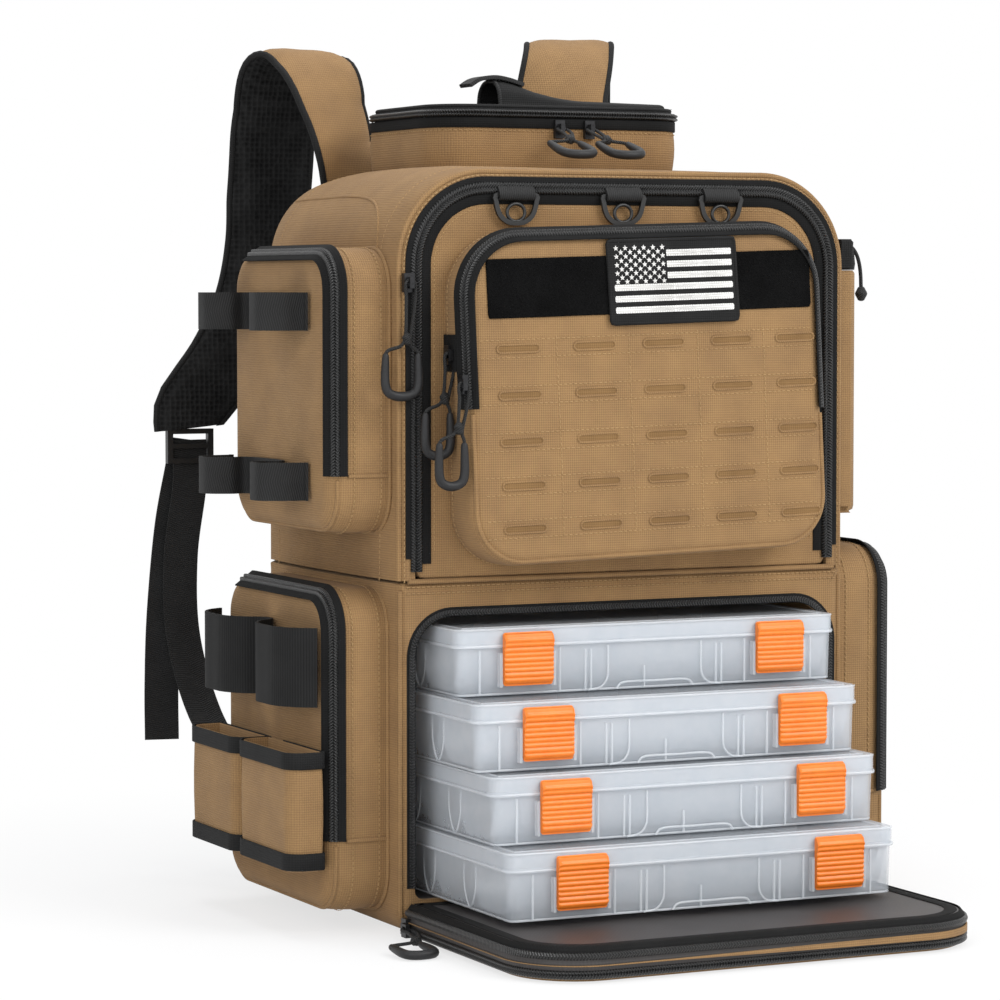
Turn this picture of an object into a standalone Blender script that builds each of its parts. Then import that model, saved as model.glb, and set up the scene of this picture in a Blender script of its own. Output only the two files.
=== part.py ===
"""Tackle backpack: a soft pack with an open lower compartment that holds four tackle trays.

All sizes are in millimetres and are turned to metres when a mesh is made. The origin is the
middle of the pack's base on the ground, +Z is up, the front of the pack faces -Y and the
wearer's back is at +Y. Each sub-part is one named object with its own material.
"""
import math

import bmesh
import bpy
import numpy as np
from mathutils import Vector

MM = 0.001

# Air left between pieces that touch, and the extra reach of a cutter past a face.
GAP = 0.3
REACH = 1.0

# Pack body.
BODY_WIDTH = 320.0
BODY_DEPTH = 220.0
WALL = 6.0
BASE_THICK = 23.0
LOWER_TOP = 224.0
UPPER_TOP = 482.0
TOP_CORNER = 60.0
OPENING_WIDTH = 300.0
OPENING_TOP = 202.0

# Main front panel, a door in the front of the upper shell, and the pocket sewn on it.
FRONT_RIM = 11.0
PANEL_GAP = 1.0
POCKET_WIDTH = 254.0
POCKET_DEPTH = 35.0
POCKET_LOW = 237.0
POCKET_HIGH = 445.0
PATCH_WIDTH = 92.0
PATCH_HEIGHT = 52.0
PATCH_X = 16.0
PATCH_Z = 412.0
PATCH_THICK = 2.0
RING_X = (-81.0, -5.0, 66.0)
RING_BAR_Z = 466.0
RING_WIDTH = 31.0
RING_DROP = 18.0
RING_WIRE = 1.5
TAB_WIDTH = 25.0

# Top pocket, its lid and the tool sleeve on the lid.
TOP_POCKET_WIDTH = 184.0
TOP_POCKET_FRONT = -22.0
TOP_POCKET_HEIGHT = 37.0
TOP_CORNER_R = 30.0
LID_THICK = 7.5
LID_HINGE_INSET = 4.0
SLEEVE_LENGTH = 123.0
SLEEVE_X = 23.5
SLEEVE_Y = 15.0
SLEEVE_RISE = 14.0

# Side pockets: how far they stand out, and their front, rear, low and high edges.
SIDE_OUT = 44.0
LEFT_UPPER = (-98.0, 68.0, 254.0, 432.0)
LEFT_LOWER = (-94.0, 82.0, 14.0, 218.0)
RIGHT_LOWER = (-104.0, 72.0, 16.0, 236.0)
BOTTLE = (-96.0, 6.0, 258.0, 420.0)
BOTTLE_CORNER = 34.0
BOTTLE_WALL = 4.0
COLLAR_HEIGHT = 20.0
COLLAR_WALL = 3.0
DRAWSTRING_R = 1.3

# Rod carriers on the left: straps, elastic band and foot sleeves.
ROD_Y = (-48.0, 42.0)
ROD_CLEAR_R = 13.0
BAND_CLEAR_R = 9.5
STRAP_Z = (393.0, 286.0)
STRAP_TALL = 24.0
BAND_Z = 170.0
BAND_TALL = 50.0
CLOTH = 2.0
SLEEVE_LOW = 42.0
SLEEVE_HIGH = 118.0
SLEEVE_OUT = 24.0
SLEEVE_WALL = 3.0

# Carrying straps.
STRAP_THICK = 13.0
STRAP_PATH = (
    (75.0, 133.0, 440.0), (76.0, 133.5, 480.0), (82.0, 139.0, 528.0), (92.5, 153.0, 563.0),
    (103.0, 175.0, 576.0), (112.5, 195.0, 566.0), (117.0, 206.0, 530.0), (118.0, 209.0, 480.0),
    (120.5, 209.0, 436.0), (131.5, 208.0, 394.0), (152.0, 206.0, 358.0), (171.0, 205.0, 334.0),
    (180.0, 205.0, 322.0), (180.0, 205.0, 310.0),
)
STRAP_WIDTHS = (64.0, 64.0, 64.0, 63.5, 63.0, 62.5, 62.0, 61.5, 61.0, 59.5, 57.0, 54.0, 52.0, 50.0)
LOCK_SIZE = (34.0, 5.0, 24.0)
WEB_WIDTH = 25.0
WEB_THICK = 1.6
WEB_DROP = (
    (180.0, 205.0, 270.0), (186.0, 207.0, 220.0), (186.0, 203.0, 165.0), (178.0, 182.0, 112.0),
    (167.0, 148.0, 80.0), (158.0, 118.0, 68.0),
)
WEB_FOOT = (158.0, 60.0, 44.0)
HANDLE_SPAN = 90.0
HANDLE_RISE = 34.0
HANDLE_THICK = 3.0
BACK_WIDTH = 276.0
BACK_LOW = 20.0
BACK_HIGH = 470.0
BACK_THICK = 15.0
CHANNEL = (12.0, 5.0)

# Zip sliders and their cord pulls.
SLIDER = (7.0, 4.0, 12.0)
LUG = (3.0, 5.0, 7.0)
EYE = 4.0
PULL_R = 1.2
TOP_PULL = 60.0
TOP_PULL_WAY = Vector((0.0, -0.952, -0.306)).normalized()
MAIN_SLIDER_Z = 411.0
TOP_SLIDER_X = (-6.0, 16.0)
FRONT_SLIDER = ((-118.0, 366.0), (-139.0, 348.0))
FLAP_SLIDER_Y = -122.0

# Lower flap, drawn lying open.
FLAP_WIDTH = 312.0
FLAP_LENGTH = 190.0
FLAP_CORNER = 45.0
HINGE_GAP = 0.5

# Tackle trays, bottom one first: how far each is pulled out past the pack's front, and its
# sideways offset in the stack.
TRAY_WIDTH = 274.0
TRAY_DEPTH = 180.0
TRAY_HEIGHT = 42.6
TRAY_PITCH = 42.97
TRAY_REST = 1.0
TRAY_OUT = (112.0, 86.0, 67.0, 30.0)
TRAY_SHIFT = (-1.0, 0.8, -1.9, 2.2)
TRAY_WALL = 1.6
SKIRT_TALL = 12.3
SKIRT_WALL = 1.4
CHANNELS = 3
LATCH_WIDTH = 34.0
LATCH_X = (-88.0, 93.0)
LATCH_TALL = 34.0
LATCH_THICK = 4.2
LATCH_FOOT = 6.0
PIVOT_Z = 9.0
PIVOT_R = 1.5
PIVOT_CLEAR = 0.3
EAR = (2.5, 5.2, 8.0)

# Sizes that follow from the ones above.
HALF_W = BODY_WIDTH / 2
FRONT = -BODY_DEPTH / 2
REAR = BODY_DEPTH / 2
UPPER_LOW = LOWER_TOP + GAP
PANEL_HALF = HALF_W - FRONT_RIM - PANEL_GAP
PANEL_LOW = LOWER_TOP + PANEL_GAP
PANEL_HIGH = UPPER_TOP - FRONT_RIM - PANEL_GAP
POCKET_BACK = FRONT - GAP
POCKET_FACE = POCKET_BACK - POCKET_DEPTH
TOP_LOW = UPPER_TOP + GAP
TOP_HIGH = TOP_LOW + TOP_POCKET_HEIGHT
LID_LOW = TOP_HIGH + GAP
LID_HIGH = LID_LOW + LID_THICK
SIDE = HALF_W + GAP
SIDE_FACE = HALF_W + SIDE_OUT
BACK_Y = REAR + GAP
BACK_FACE = BACK_Y + BACK_THICK
FLAP_HINGE_Y = FRONT - HINGE_GAP

PACK = "tackle_backpack"
TAN = (0.39, 0.27, 0.14)
BLACK = (0.02, 0.02, 0.022)
CLEAR = (0.80, 0.82, 0.80)
ORANGE = (0.90, 0.20, 0.02)


def clear_scene():
    """Take every object out of the scene."""
    for item in list(bpy.data.objects):
        bpy.data.objects.remove(item, do_unlink=True)


def collection(name):
    """Return a collection of that name, linked to the scene."""
    group = bpy.data.collections.get(name)
    if group is None:
        group = bpy.data.collections.new(name)
        bpy.context.scene.collection.children.link(group)
    return group


def finish(item, colour, rough=0.8):
    """Give an object its own plain material."""
    skin = bpy.data.materials.new(item.name + "_skin")
    skin.use_nodes = True
    shader = skin.node_tree.nodes["Principled BSDF"]
    shader.inputs["Base Color"].default_value = (*colour, 1.0)
    shader.inputs["Roughness"].default_value = rough
    item.data.materials.clear()
    item.data.materials.append(skin)


def place(name, bm, colour, pivot=(0.0, 0.0, 0.0), rough=0.8):
    """Turn a mesh drawn in millimetres into an object whose origin is the pivot."""
    bmesh.ops.translate(bm, verts=bm.verts, vec=-Vector(pivot))
    bmesh.ops.scale(bm, verts=bm.verts, vec=(MM, MM, MM))
    mesh = bpy.data.meshes.new(name)
    bm.to_mesh(mesh)
    bm.free()
    item = bpy.data.objects.new(name, mesh)
    item.location = Vector(pivot) * MM
    collection(PACK if colour else "cutters").objects.link(item)
    if colour:
        finish(item, colour, rough)
    else:
        item.hide_render = True
        item.display_type = "WIRE"
    return item


def cube(low, high, *more):
    """Return a bmesh of one or more boxes, each between two corners."""
    bm = bmesh.new()
    corners = [low, high, *more]
    for start in range(0, len(corners), 2):
        lo = Vector(corners[start])
        hi = Vector(corners[start + 1])
        made = bmesh.ops.create_cube(bm, size=1.0)["verts"]
        bmesh.ops.scale(bm, verts=made, vec=hi - lo)
        bmesh.ops.translate(bm, verts=made, vec=(hi + lo) / 2)
    return bm


def box(name, low, high, colour, pivot=(0.0, 0.0, 0.0), rough=0.8):
    """Make a plain box."""
    return place(name, cube(low, high), colour, pivot, rough)


def soft_box(name, low, high, colour, axis, corner, rim=0.0, keep=None, steps=4, pivot=(0.0, 0.0, 0.0)):
    """Make a box with its edges along one axis rounded, then its two rims rounded.

    keep is an optional test on an edge's middle point, in millimetres, that picks the edges
    along the axis that are rounded.
    """
    bm = cube(low, high)
    weight = bm.edges.layers.float.new("bevel_weight_edge")
    for edge in bm.edges:
        first, second = edge.verts
        along = abs((second.co - first.co)[axis]) > 1e-6
        middle = (first.co + second.co) / 2
        if along and (keep is None or keep(middle)):
            edge[weight] = 1.0
    item = place(name, bm, colour, pivot)
    if corner > 0:
        bevel = item.modifiers.new("corners", "BEVEL")
        bevel.limit_method = "WEIGHT"
        bevel.width = corner * MM
        bevel.segments = steps
    if rim > 0:
        round_edges(item, rim)
    return item


def round_edges(item, width, steps=2, limit=50.0):
    """Round the sharp edges of an object."""
    bevel = item.modifiers.new("rims", "BEVEL")
    bevel.limit_method = "ANGLE"
    bevel.angle_limit = math.radians(limit)
    bevel.width = width * MM
    bevel.segments = steps
    return item


def combine(item, other, operation):
    """Add or cut away another object."""
    step = item.modifiers.new(operation.lower(), "BOOLEAN")
    step.operation = operation
    step.solver = "EXACT"
    step.object = other
    return item


def cut(item, other):
    """Cut another object out of this one."""
    return combine(item, other, "DIFFERENCE")


def band(name, path, across, widths, thick, colour, pivot=(0.0, 0.0, 0.0), closed=False, rim=0.0):
    """Make a flat strap that follows a path.

    across is the way the strap's width points, made square to the path at each point.
    """
    points = np.array(path, dtype=float)
    count = len(points)
    widths = np.broadcast_to(np.array(widths, dtype=float), (count,))
    if closed:
        run = np.roll(points, -1, axis=0) - np.roll(points, 1, axis=0)
    else:
        run = np.gradient(points, axis=0)
    run /= np.linalg.norm(run, axis=1)[:, None]
    side = np.array(across, dtype=float) - run * (run @ np.array(across, dtype=float))[:, None]
    side /= np.linalg.norm(side, axis=1)[:, None]
    bm = bmesh.new()
    near = [bm.verts.new(row) for row in points - side * widths[:, None] / 2]
    far = [bm.verts.new(row) for row in points + side * widths[:, None] / 2]
    for k in range(count if closed else count - 1):
        n = (k + 1) % count
        bm.faces.new((near[k], near[n], far[n], far[k]))
    item = place(name, bm, colour, pivot)
    solid = item.modifiers.new("thickness", "SOLIDIFY")
    solid.thickness = thick * MM
    solid.offset = 0.0
    solid.use_even_offset = True
    if rim > 0:
        round_edges(item, rim, 2, 60.0)
    return item


def tube(name, path, radius, colour, pivot=(0.0, 0.0, 0.0), closed=False, sides=6):
    """Make a round wire or cord along a path, from a curve with a round bevel."""
    line = bpy.data.curves.new(name + "_line", "CURVE")
    line.dimensions = "3D"
    line.bevel_depth = radius * MM
    line.bevel_resolution = max(0, (sides - 4) // 2)
    line.use_fill_caps = True
    spline = line.splines.new("POLY")
    spline.points.add(len(path) - 1)
    for point, row in zip(spline.points, path):
        point.co = (*((Vector(row) - Vector(pivot)) * MM), 1.0)
    spline.use_cyclic_u = closed
    holder = bpy.data.objects.new(name + "_line", line)
    bpy.context.scene.collection.objects.link(holder)
    graph = bpy.context.evaluated_depsgraph_get()
    mesh = bpy.data.meshes.new_from_object(holder.evaluated_get(graph))
    bpy.data.objects.remove(holder, do_unlink=True)
    mesh.name = name
    bm = bmesh.new()
    bm.from_mesh(mesh)
    bmesh.ops.remove_doubles(bm, verts=bm.verts, dist=1e-6)
    bmesh.ops.recalc_face_normals(bm, faces=bm.faces)
    bm.to_mesh(mesh)
    bm.free()
    item = bpy.data.objects.new(name, mesh)
    item.location = Vector(pivot) * MM
    collection(PACK if colour else "cutters").objects.link(item)
    if colour:
        finish(item, colour)
    else:
        item.hide_render = True
    return item


def rounded(name, low, high, axis, corner, keep=None):
    """Make a cutter with rounded edges along one axis."""
    return soft_box(name, low, high, None, axis, corner, 0.0, keep)


def is_top(middle):
    """Pick the edges in the upper half of the pack."""
    return middle.z > (LOWER_TOP + UPPER_TOP) / 2


def make_body():
    """Lower and upper shells of the pack and its back pad."""
    lower = box("lower_shell", (-HALF_W, FRONT, 0), (HALF_W, REAR, LOWER_TOP), TAN)
    inner = HALF_W - WALL
    hollow = box("cut_lower", (-inner, FRONT + WALL, BASE_THICK),
                 (inner, REAR - WALL, LOWER_TOP - WALL), None)
    mouth = box("cut_mouth", (-OPENING_WIDTH / 2, FRONT - REACH, BASE_THICK),
                (OPENING_WIDTH / 2, FRONT + WALL + REACH, OPENING_TOP), None)
    cut(cut(lower, hollow), mouth)

    upper = soft_box("upper_shell", (-HALF_W, FRONT, UPPER_LOW), (HALF_W, REAR, UPPER_TOP), TAN, 1,
                     TOP_CORNER, 0.0, is_top, 6)
    hollow = rounded("cut_upper", (-inner, FRONT + WALL, UPPER_LOW - REACH),
                     (inner, REAR - WALL, UPPER_TOP - WALL), 1, TOP_CORNER - WALL, is_top)
    half = HALF_W - FRONT_RIM
    door = rounded("cut_door", (-half, FRONT - REACH, UPPER_LOW - REACH),
                   (half, FRONT + WALL + REACH, UPPER_TOP - FRONT_RIM), 1, TOP_CORNER - FRONT_RIM, is_top)
    cut(cut(upper, hollow), door)

    back = soft_box("back_panel", (-BACK_WIDTH / 2, BACK_Y, BACK_LOW), (BACK_WIDTH / 2, BACK_FACE, BACK_HIGH),
                    BLACK, 1, 30.0, 3.0)
    wide, deep = CHANNEL
    third = BACK_WIDTH / 6
    lanes = cube((-third - wide / 2, BACK_FACE - deep, BACK_LOW - REACH),
                 (-third + wide / 2, BACK_FACE + REACH, BACK_HIGH + REACH),
                 (third - wide / 2, BACK_FACE - deep, BACK_LOW - REACH),
                 (third + wide / 2, BACK_FACE + REACH, BACK_HIGH + REACH))
    cut(back, place("cut_channels", lanes, None))


def make_front():
    """Main panel with its pocket, patch and ring loops."""
    hinge = (0.0, FRONT, PANEL_LOW)
    soft_box("main_panel", (-PANEL_HALF, FRONT, PANEL_LOW), (PANEL_HALF, FRONT + WALL, PANEL_HIGH), TAN, 1,
             TOP_CORNER - FRONT_RIM - PANEL_GAP, 0.0, is_top, 5, hinge)
    soft_box("front_pocket", (-POCKET_WIDTH / 2, POCKET_FACE, POCKET_LOW),
             (POCKET_WIDTH / 2, POCKET_BACK, POCKET_HIGH), TAN, 1, 38.0, 9.0, None, 4, hinge)
    patch_back = POCKET_FACE - GAP
    box("patch", (PATCH_X - PATCH_WIDTH / 2, patch_back - PATCH_THICK, PATCH_Z - PATCH_HEIGHT / 2),
        (PATCH_X + PATCH_WIDTH / 2, patch_back, PATCH_Z + PATCH_HEIGHT / 2), BLACK, hinge)

    bar_y = FRONT - GAP - EYE
    strip = box("ring_webbing", (RING_X[0] - TAB_WIDTH, FRONT - GAP - CLOTH, RING_BAR_Z + EYE / 2),
                (RING_X[2] + TAB_WIDTH, FRONT - GAP, PANEL_HIGH - GAP), BLACK, hinge)
    for number, ring_x in enumerate(RING_X, 1):
        tab = box("add_ring_tab_%d" % number,
                  (ring_x - TAB_WIDTH / 2, bar_y - EYE, RING_BAR_Z - EYE),
                  (ring_x + TAB_WIDTH / 2, FRONT - GAP, RING_BAR_Z + EYE), None)
        combine(strip, tab, "UNION")
    hole = box("cut_ring_bar", (RING_X[0] - TAB_WIDTH, bar_y - EYE / 2, RING_BAR_Z - EYE / 2),
               (RING_X[2] + TAB_WIDTH, bar_y + EYE / 2, RING_BAR_Z + EYE / 2 - GAP), None)
    cut(strip, hole)
    for number, ring_x in enumerate(RING_X, 1):
        half = RING_WIDTH / 2 - RING_WIRE
        shape = [(-half, 0.0), (half, 0.0), (half, -0.35), (0.72 * half, -0.82), (0.3 * half, -1.0),
                 (-0.3 * half, -1.0), (-0.72 * half, -0.82), (-half, -0.35)]
        path = [(ring_x + x, bar_y, RING_BAR_Z + drop * RING_DROP) for x, drop in shape]
        tube("d_ring_%d" % number, path, RING_WIRE, BLACK, (ring_x, bar_y, RING_BAR_Z), True)


def make_top():
    """Top pocket, its hinged lid and the tool sleeve on the lid."""
    half = TOP_POCKET_WIDTH / 2
    pocket = soft_box("top_pocket", (-half, TOP_POCKET_FRONT, TOP_LOW), (half, REAR, TOP_HIGH), TAN, 2,
                      TOP_CORNER_R, 0.0, None, 4)
    thin = WALL - CLOTH
    hollow = rounded("cut_top", (-half + thin, TOP_POCKET_FRONT + thin, TOP_LOW + thin),
                     (half - thin, REAR - thin, TOP_HIGH + REACH), 2, TOP_CORNER_R - thin)
    cut(pocket, hollow)
    hinge = (0.0, REAR - LID_HINGE_INSET, LID_LOW)
    soft_box("top_lid", (-half, TOP_POCKET_FRONT, LID_LOW), (half, REAR - LID_HINGE_INSET, LID_HIGH), BLACK, 2,
             TOP_CORNER_R, 3.0, None, 4, hinge)
    low = LID_HIGH + GAP + CLOTH / 2
    arch = [(-27.0, 0.0), (-17.0, 0.0), (-13.0, 0.72), (-5.0, 1.0), (5.0, 1.0), (13.0, 0.72), (17.0, 0.0),
            (27.0, 0.0)]
    path = [(SLEEVE_X, SLEEVE_Y + y, low + rise * SLEEVE_RISE) for y, rise in arch]
    band("tool_sleeve", path, (1, 0, 0), SLEEVE_LENGTH, CLOTH, BLACK, hinge)


def make_sides():
    """Side pockets, the bottle pocket's collar and cord, and the rod carriers."""
    for name, edges in (("left_upper_pocket", LEFT_UPPER), ("left_lower_pocket", LEFT_LOWER)):
        front, rear, low, high = edges
        soft_box(name, (-SIDE_FACE, front, low), (-SIDE, rear, high), TAN, 0, 24.0, 10.0)
    front, rear, low, high = RIGHT_LOWER
    soft_box("right_lower_pocket", (SIDE, front, low), (SIDE_FACE, rear, high), TAN, 0, 24.0, 10.0)

    front, rear, low, high = BOTTLE

    def is_outer(middle):
        return middle.x > (SIDE + SIDE_FACE) / 2

    bottle = soft_box("bottle_pocket", (SIDE, front, low), (SIDE_FACE, rear, high), TAN, 2, BOTTLE_CORNER, 0.0,
                      is_outer)
    hollow = rounded("cut_bottle", (SIDE + BOTTLE_WALL, front + BOTTLE_WALL, low + BOTTLE_WALL),
                     (SIDE_FACE - BOTTLE_WALL, rear - BOTTLE_WALL, high + REACH), 2,
                     BOTTLE_CORNER - BOTTLE_WALL, is_outer)
    cut(bottle, hollow)
    rise = high + GAP
    collar = soft_box("bottle_collar", (SIDE, front, rise), (SIDE_FACE, rear, rise + COLLAR_HEIGHT), BLACK, 2,
                      BOTTLE_CORNER, 0.0, is_outer)
    hollow = rounded("cut_collar", (SIDE + COLLAR_WALL, front + COLLAR_WALL, rise - REACH),
                     (SIDE_FACE - COLLAR_WALL, rear - COLLAR_WALL, rise + COLLAR_HEIGHT + REACH), 2,
                     BOTTLE_CORNER - COLLAR_WALL, is_outer)
    cut(collar, hollow)
    middle = (front + rear) / 2
    near = SIDE_FACE + GAP + DRAWSTRING_R
    top = rise + COLLAR_HEIGHT
    path = [(near, middle, top - 4), (near + 4, middle, top - 8), (near + 6, middle, top - 18),
            (near + 6, middle, top - 42)]
    tube("drawstring", path, DRAWSTRING_R, BLACK)

    face = -SIDE_FACE - GAP - CLOTH / 2
    out = 2 * ROD_CLEAR_R + CLOTH
    loop = [(-17.0, 0.0), (-14.5, 0.55), (-8.5, 0.93), (0.0, 1.0), (8.5, 0.93), (14.5, 0.55), (17.0, 0.0)]
    for name, z in zip(("rod_strap_upper", "rod_strap_lower"), STRAP_Z):
        path = [(face, ROD_Y[0] - 30, z)]
        for rod in ROD_Y:
            path += [(face - reach * out, rod + y, z) for y, reach in loop]
        path.append((face, ROD_Y[1] + 26, z))
        band(name, path, (0, 0, 1), STRAP_TALL, CLOTH, BLACK)
    wide = [(-38.0, 0.0), (-30.0, 0.55), (-16.0, 0.95), (0.0, 1.0), (16.0, 0.95), (30.0, 0.55), (38.0, 0.0)]
    out = 2 * BAND_CLEAR_R + CLOTH
    path = []
    for rod in ROD_Y:
        path += [(face - reach * out, rod + y, BAND_Z) for y, reach in wide]
    band("rod_band", path, (0, 0, 1), BAND_TALL, CLOTH, BLACK)

    front, rear = LEFT_LOWER[:2]
    inner = -SIDE_FACE - GAP
    outer = inner - SLEEVE_OUT

    def is_far(middle):
        return middle.x < (inner + outer) / 2

    sleeves = soft_box("rod_sleeves", (outer, front, SLEEVE_LOW), (inner, rear, SLEEVE_HIGH), TAN, 2, 14.0, 0.0,
                       is_far)
    split = (ROD_Y[0] + ROD_Y[1]) / 2
    for number, (start, end) in enumerate(((front, split), (split, rear)), 1):
        hollow = rounded("cut_sleeve_%d" % number,
                         (outer + SLEEVE_WALL, start + SLEEVE_WALL, SLEEVE_LOW + SLEEVE_WALL),
                         (inner - SLEEVE_WALL, end - SLEEVE_WALL, SLEEVE_HIGH + REACH), 2, 10.0, is_far)
        cut(sleeves, hollow)


def make_straps():
    """Shoulder straps, ladder locks, lower webbing and the haul handle."""
    wide, thick, tall = LOCK_SIZE
    for side, name in ((-1.0, "left"), (1.0, "right")):
        path = [(side * x, y, z) for x, y, z in STRAP_PATH]
        band("shoulder_strap_" + name, path, (1, 0, 0), STRAP_WIDTHS, STRAP_THICK, TAN, rim=3.5)
        end = path[-1]
        top = end[2] - GAP
        lock = box("ladder_lock_" + name, (end[0] - wide / 2, end[1] - thick / 2, top - tall),
                   (end[0] + wide / 2, end[1] + thick / 2, top), BLACK)
        slot = wide / 2 - 4.0
        slots = cube((end[0] - slot, end[1] - thick, top - tall + 3.5),
                     (end[0] + slot, end[1] + thick, top - tall / 2 - 1.5),
                     (end[0] - slot, end[1] - thick, top - tall / 2 + 1.5),
                     (end[0] + slot, end[1] + thick, top - 3.5))
        cut(lock, place("cut_lock_" + name, slots, None))
        start = (end[0], end[1], top - tall - GAP)
        flat = REAR + GAP + WEB_THICK / 2
        foot_x, foot_high, foot_low = WEB_FOOT
        path = [start] + [(side * x, y, z) for x, y, z in WEB_DROP]
        path += [(side * foot_x, flat, foot_high), (side * foot_x, flat, foot_low)]
        band("strap_webbing_" + name, path, (1, 0, 0), WEB_WIDTH, WEB_THICK, BLACK)

    half = HANDLE_SPAN / 2
    rest = BACK_HIGH + GAP
    middle = (BACK_Y + BACK_FACE) / 2
    shape = [(-half, 0.0), (-half, 0.55), (-0.8 * half, 0.9), (-0.4 * half, 1.0), (0.4 * half, 1.0),
             (0.8 * half, 0.9), (half, 0.55), (half, 0.0)]
    path = [(x, middle, rest + rise * HANDLE_RISE) for x, rise in shape]
    band("haul_handle", path, (0, 1, 0), BACK_THICK - 2 * REACH, HANDLE_THICK, BLACK)


def make_slider(name, eye, back, seat, pivot=None):
    """Make a zip slider with a lug that holds the pull.

    eye is the pull's centre, back the surface that the slider sits on and seat the axis and
    sign that points away from that surface.
    """
    axis, sign = seat
    size = Vector(SLIDER)
    if axis == 0:
        size = Vector((SLIDER[1], SLIDER[0], SLIDER[2]))
    low = [eye[k] - size[k] / 2 for k in range(3)]
    high = [eye[k] + size[k] / 2 for k in range(3)]
    near, far = back + sign * GAP, back + sign * (GAP + SLIDER[1])
    low[axis], high[axis] = min(near, far), max(near, far)
    item = box(name, low, high, BLACK, pivot or eye, 0.4)
    lug_low = [eye[0] - LUG[0] / 2, eye[1] - LUG[1] / 2 - REACH / 2, eye[2] - LUG[2] / 2]
    lug_high = [eye[0] + LUG[0] / 2, high[1] if axis == 1 else eye[1] + LUG[1], eye[2] + LUG[2] / 2]
    lug = box("add_" + name, lug_low, lug_high, None)
    combine(item, lug, "UNION")
    half = EYE / 2
    hole = box("cut_" + name, (eye[0] - LUG[0], eye[1] - half, eye[2] - half),
               (eye[0] + LUG[0], eye[1] + half, eye[2] + half), None)
    cut(item, hole)
    return item


def make_pull(name, eye, length, half, shift, down=(0.0, 0.0, -1.0)):
    """Make a cord pull: a loop through the slider's lug with a wide grip at its end."""
    grip = min(22.0, 0.5 * length)
    shape = [(-2.9, 0.0), (2.9, 0.0), (2.9, 0.35 * (length - grip)), (2.2 + shift * 0.4, length - grip - 2),
             (shift + half, length - grip + 5), (shift + half, length - 6), (shift + 0.5 * half, length),
             (shift - 0.5 * half, length), (shift - half, length - 6), (shift - half, length - grip + 5),
             (-2.2 + shift * 0.4, length - grip - 2), (-2.9, 0.35 * (length - grip))]
    way = Vector(down)
    path = [Vector((eye[0] + x, eye[1], eye[2])) + way * drop for x, drop in shape]
    tube(name, path, PULL_R, BLACK, eye, True)


def make_zips():
    """Sliders and pulls of the main, top, front and flap zips."""
    main_x = -HALF_W + FRONT_RIM / 2
    reach = GAP + SLIDER[1] + EYE / 2 - REACH / 2
    eye = (main_x, FRONT - reach, MAIN_SLIDER_Z)
    make_slider("main_slider", eye, FRONT, (1, -1.0))
    make_pull("main_pull", eye, 70.0, 11.0, -6.0)
    for number, x in enumerate(TOP_SLIDER_X, 1):
        eye = (x, TOP_POCKET_FRONT - reach, TOP_HIGH - SLIDER[2] / 2 - REACH)
        make_slider("top_slider_%d" % number, eye, TOP_POCKET_FRONT, (1, -1.0))
        make_pull("top_pull_%d" % number, eye, TOP_PULL, 11.0, (-14.0, -1.0)[number - 1], TOP_PULL_WAY)
    side = -POCKET_WIDTH / 2
    for number, (y, z) in enumerate(FRONT_SLIDER, 1):
        eye = (side - GAP - 3 * PULL_R - 0.6, y - SLIDER[0] / 2 - EYE / 2, z)
        make_slider("front_slider_%d" % number, eye, side, (0, -1.0))
        move_block("front_slider_%d" % number, y + SLIDER[0] / 2 + EYE / 2 - y)
        make_pull("front_pull_%d" % number, eye, 62.0, 8.5, -8.0)
    flap_side = -FLAP_WIDTH / 2
    eye = (flap_side - GAP - 3 * PULL_R - 1.2, FLAP_SLIDER_Y, 7.0)
    make_slider("flap_slider", eye, flap_side, (0, -1.0))
    move_block("flap_slider", SLIDER[0] / 2 + EYE / 2)
    make_pull("flap_pull", eye, 66.0, 10.0, -18.0, Vector((0.0, -1.0, -0.075)).normalized())


def move_block(name, distance):
    """Slide a side slider's block back along Y so that its lug stands clear in front."""
    mesh = bpy.data.objects[name].data
    for vert in mesh.vertices:
        vert.co.y += distance * MM


def make_flap():
    """The lower front flap, lying open on the ground."""
    hinge = (0.0, FLAP_HINGE_Y, BASE_THICK)

    def is_front(middle):
        return middle.y < FLAP_HINGE_Y - FLAP_LENGTH / 2

    soft_box("lower_flap", (-FLAP_WIDTH / 2, FLAP_HINGE_Y - FLAP_LENGTH, GAP),
             (FLAP_WIDTH / 2, FLAP_HINGE_Y, BASE_THICK), BLACK, 2, FLAP_CORNER, 0.0, is_front, 5, hinge)


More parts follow.
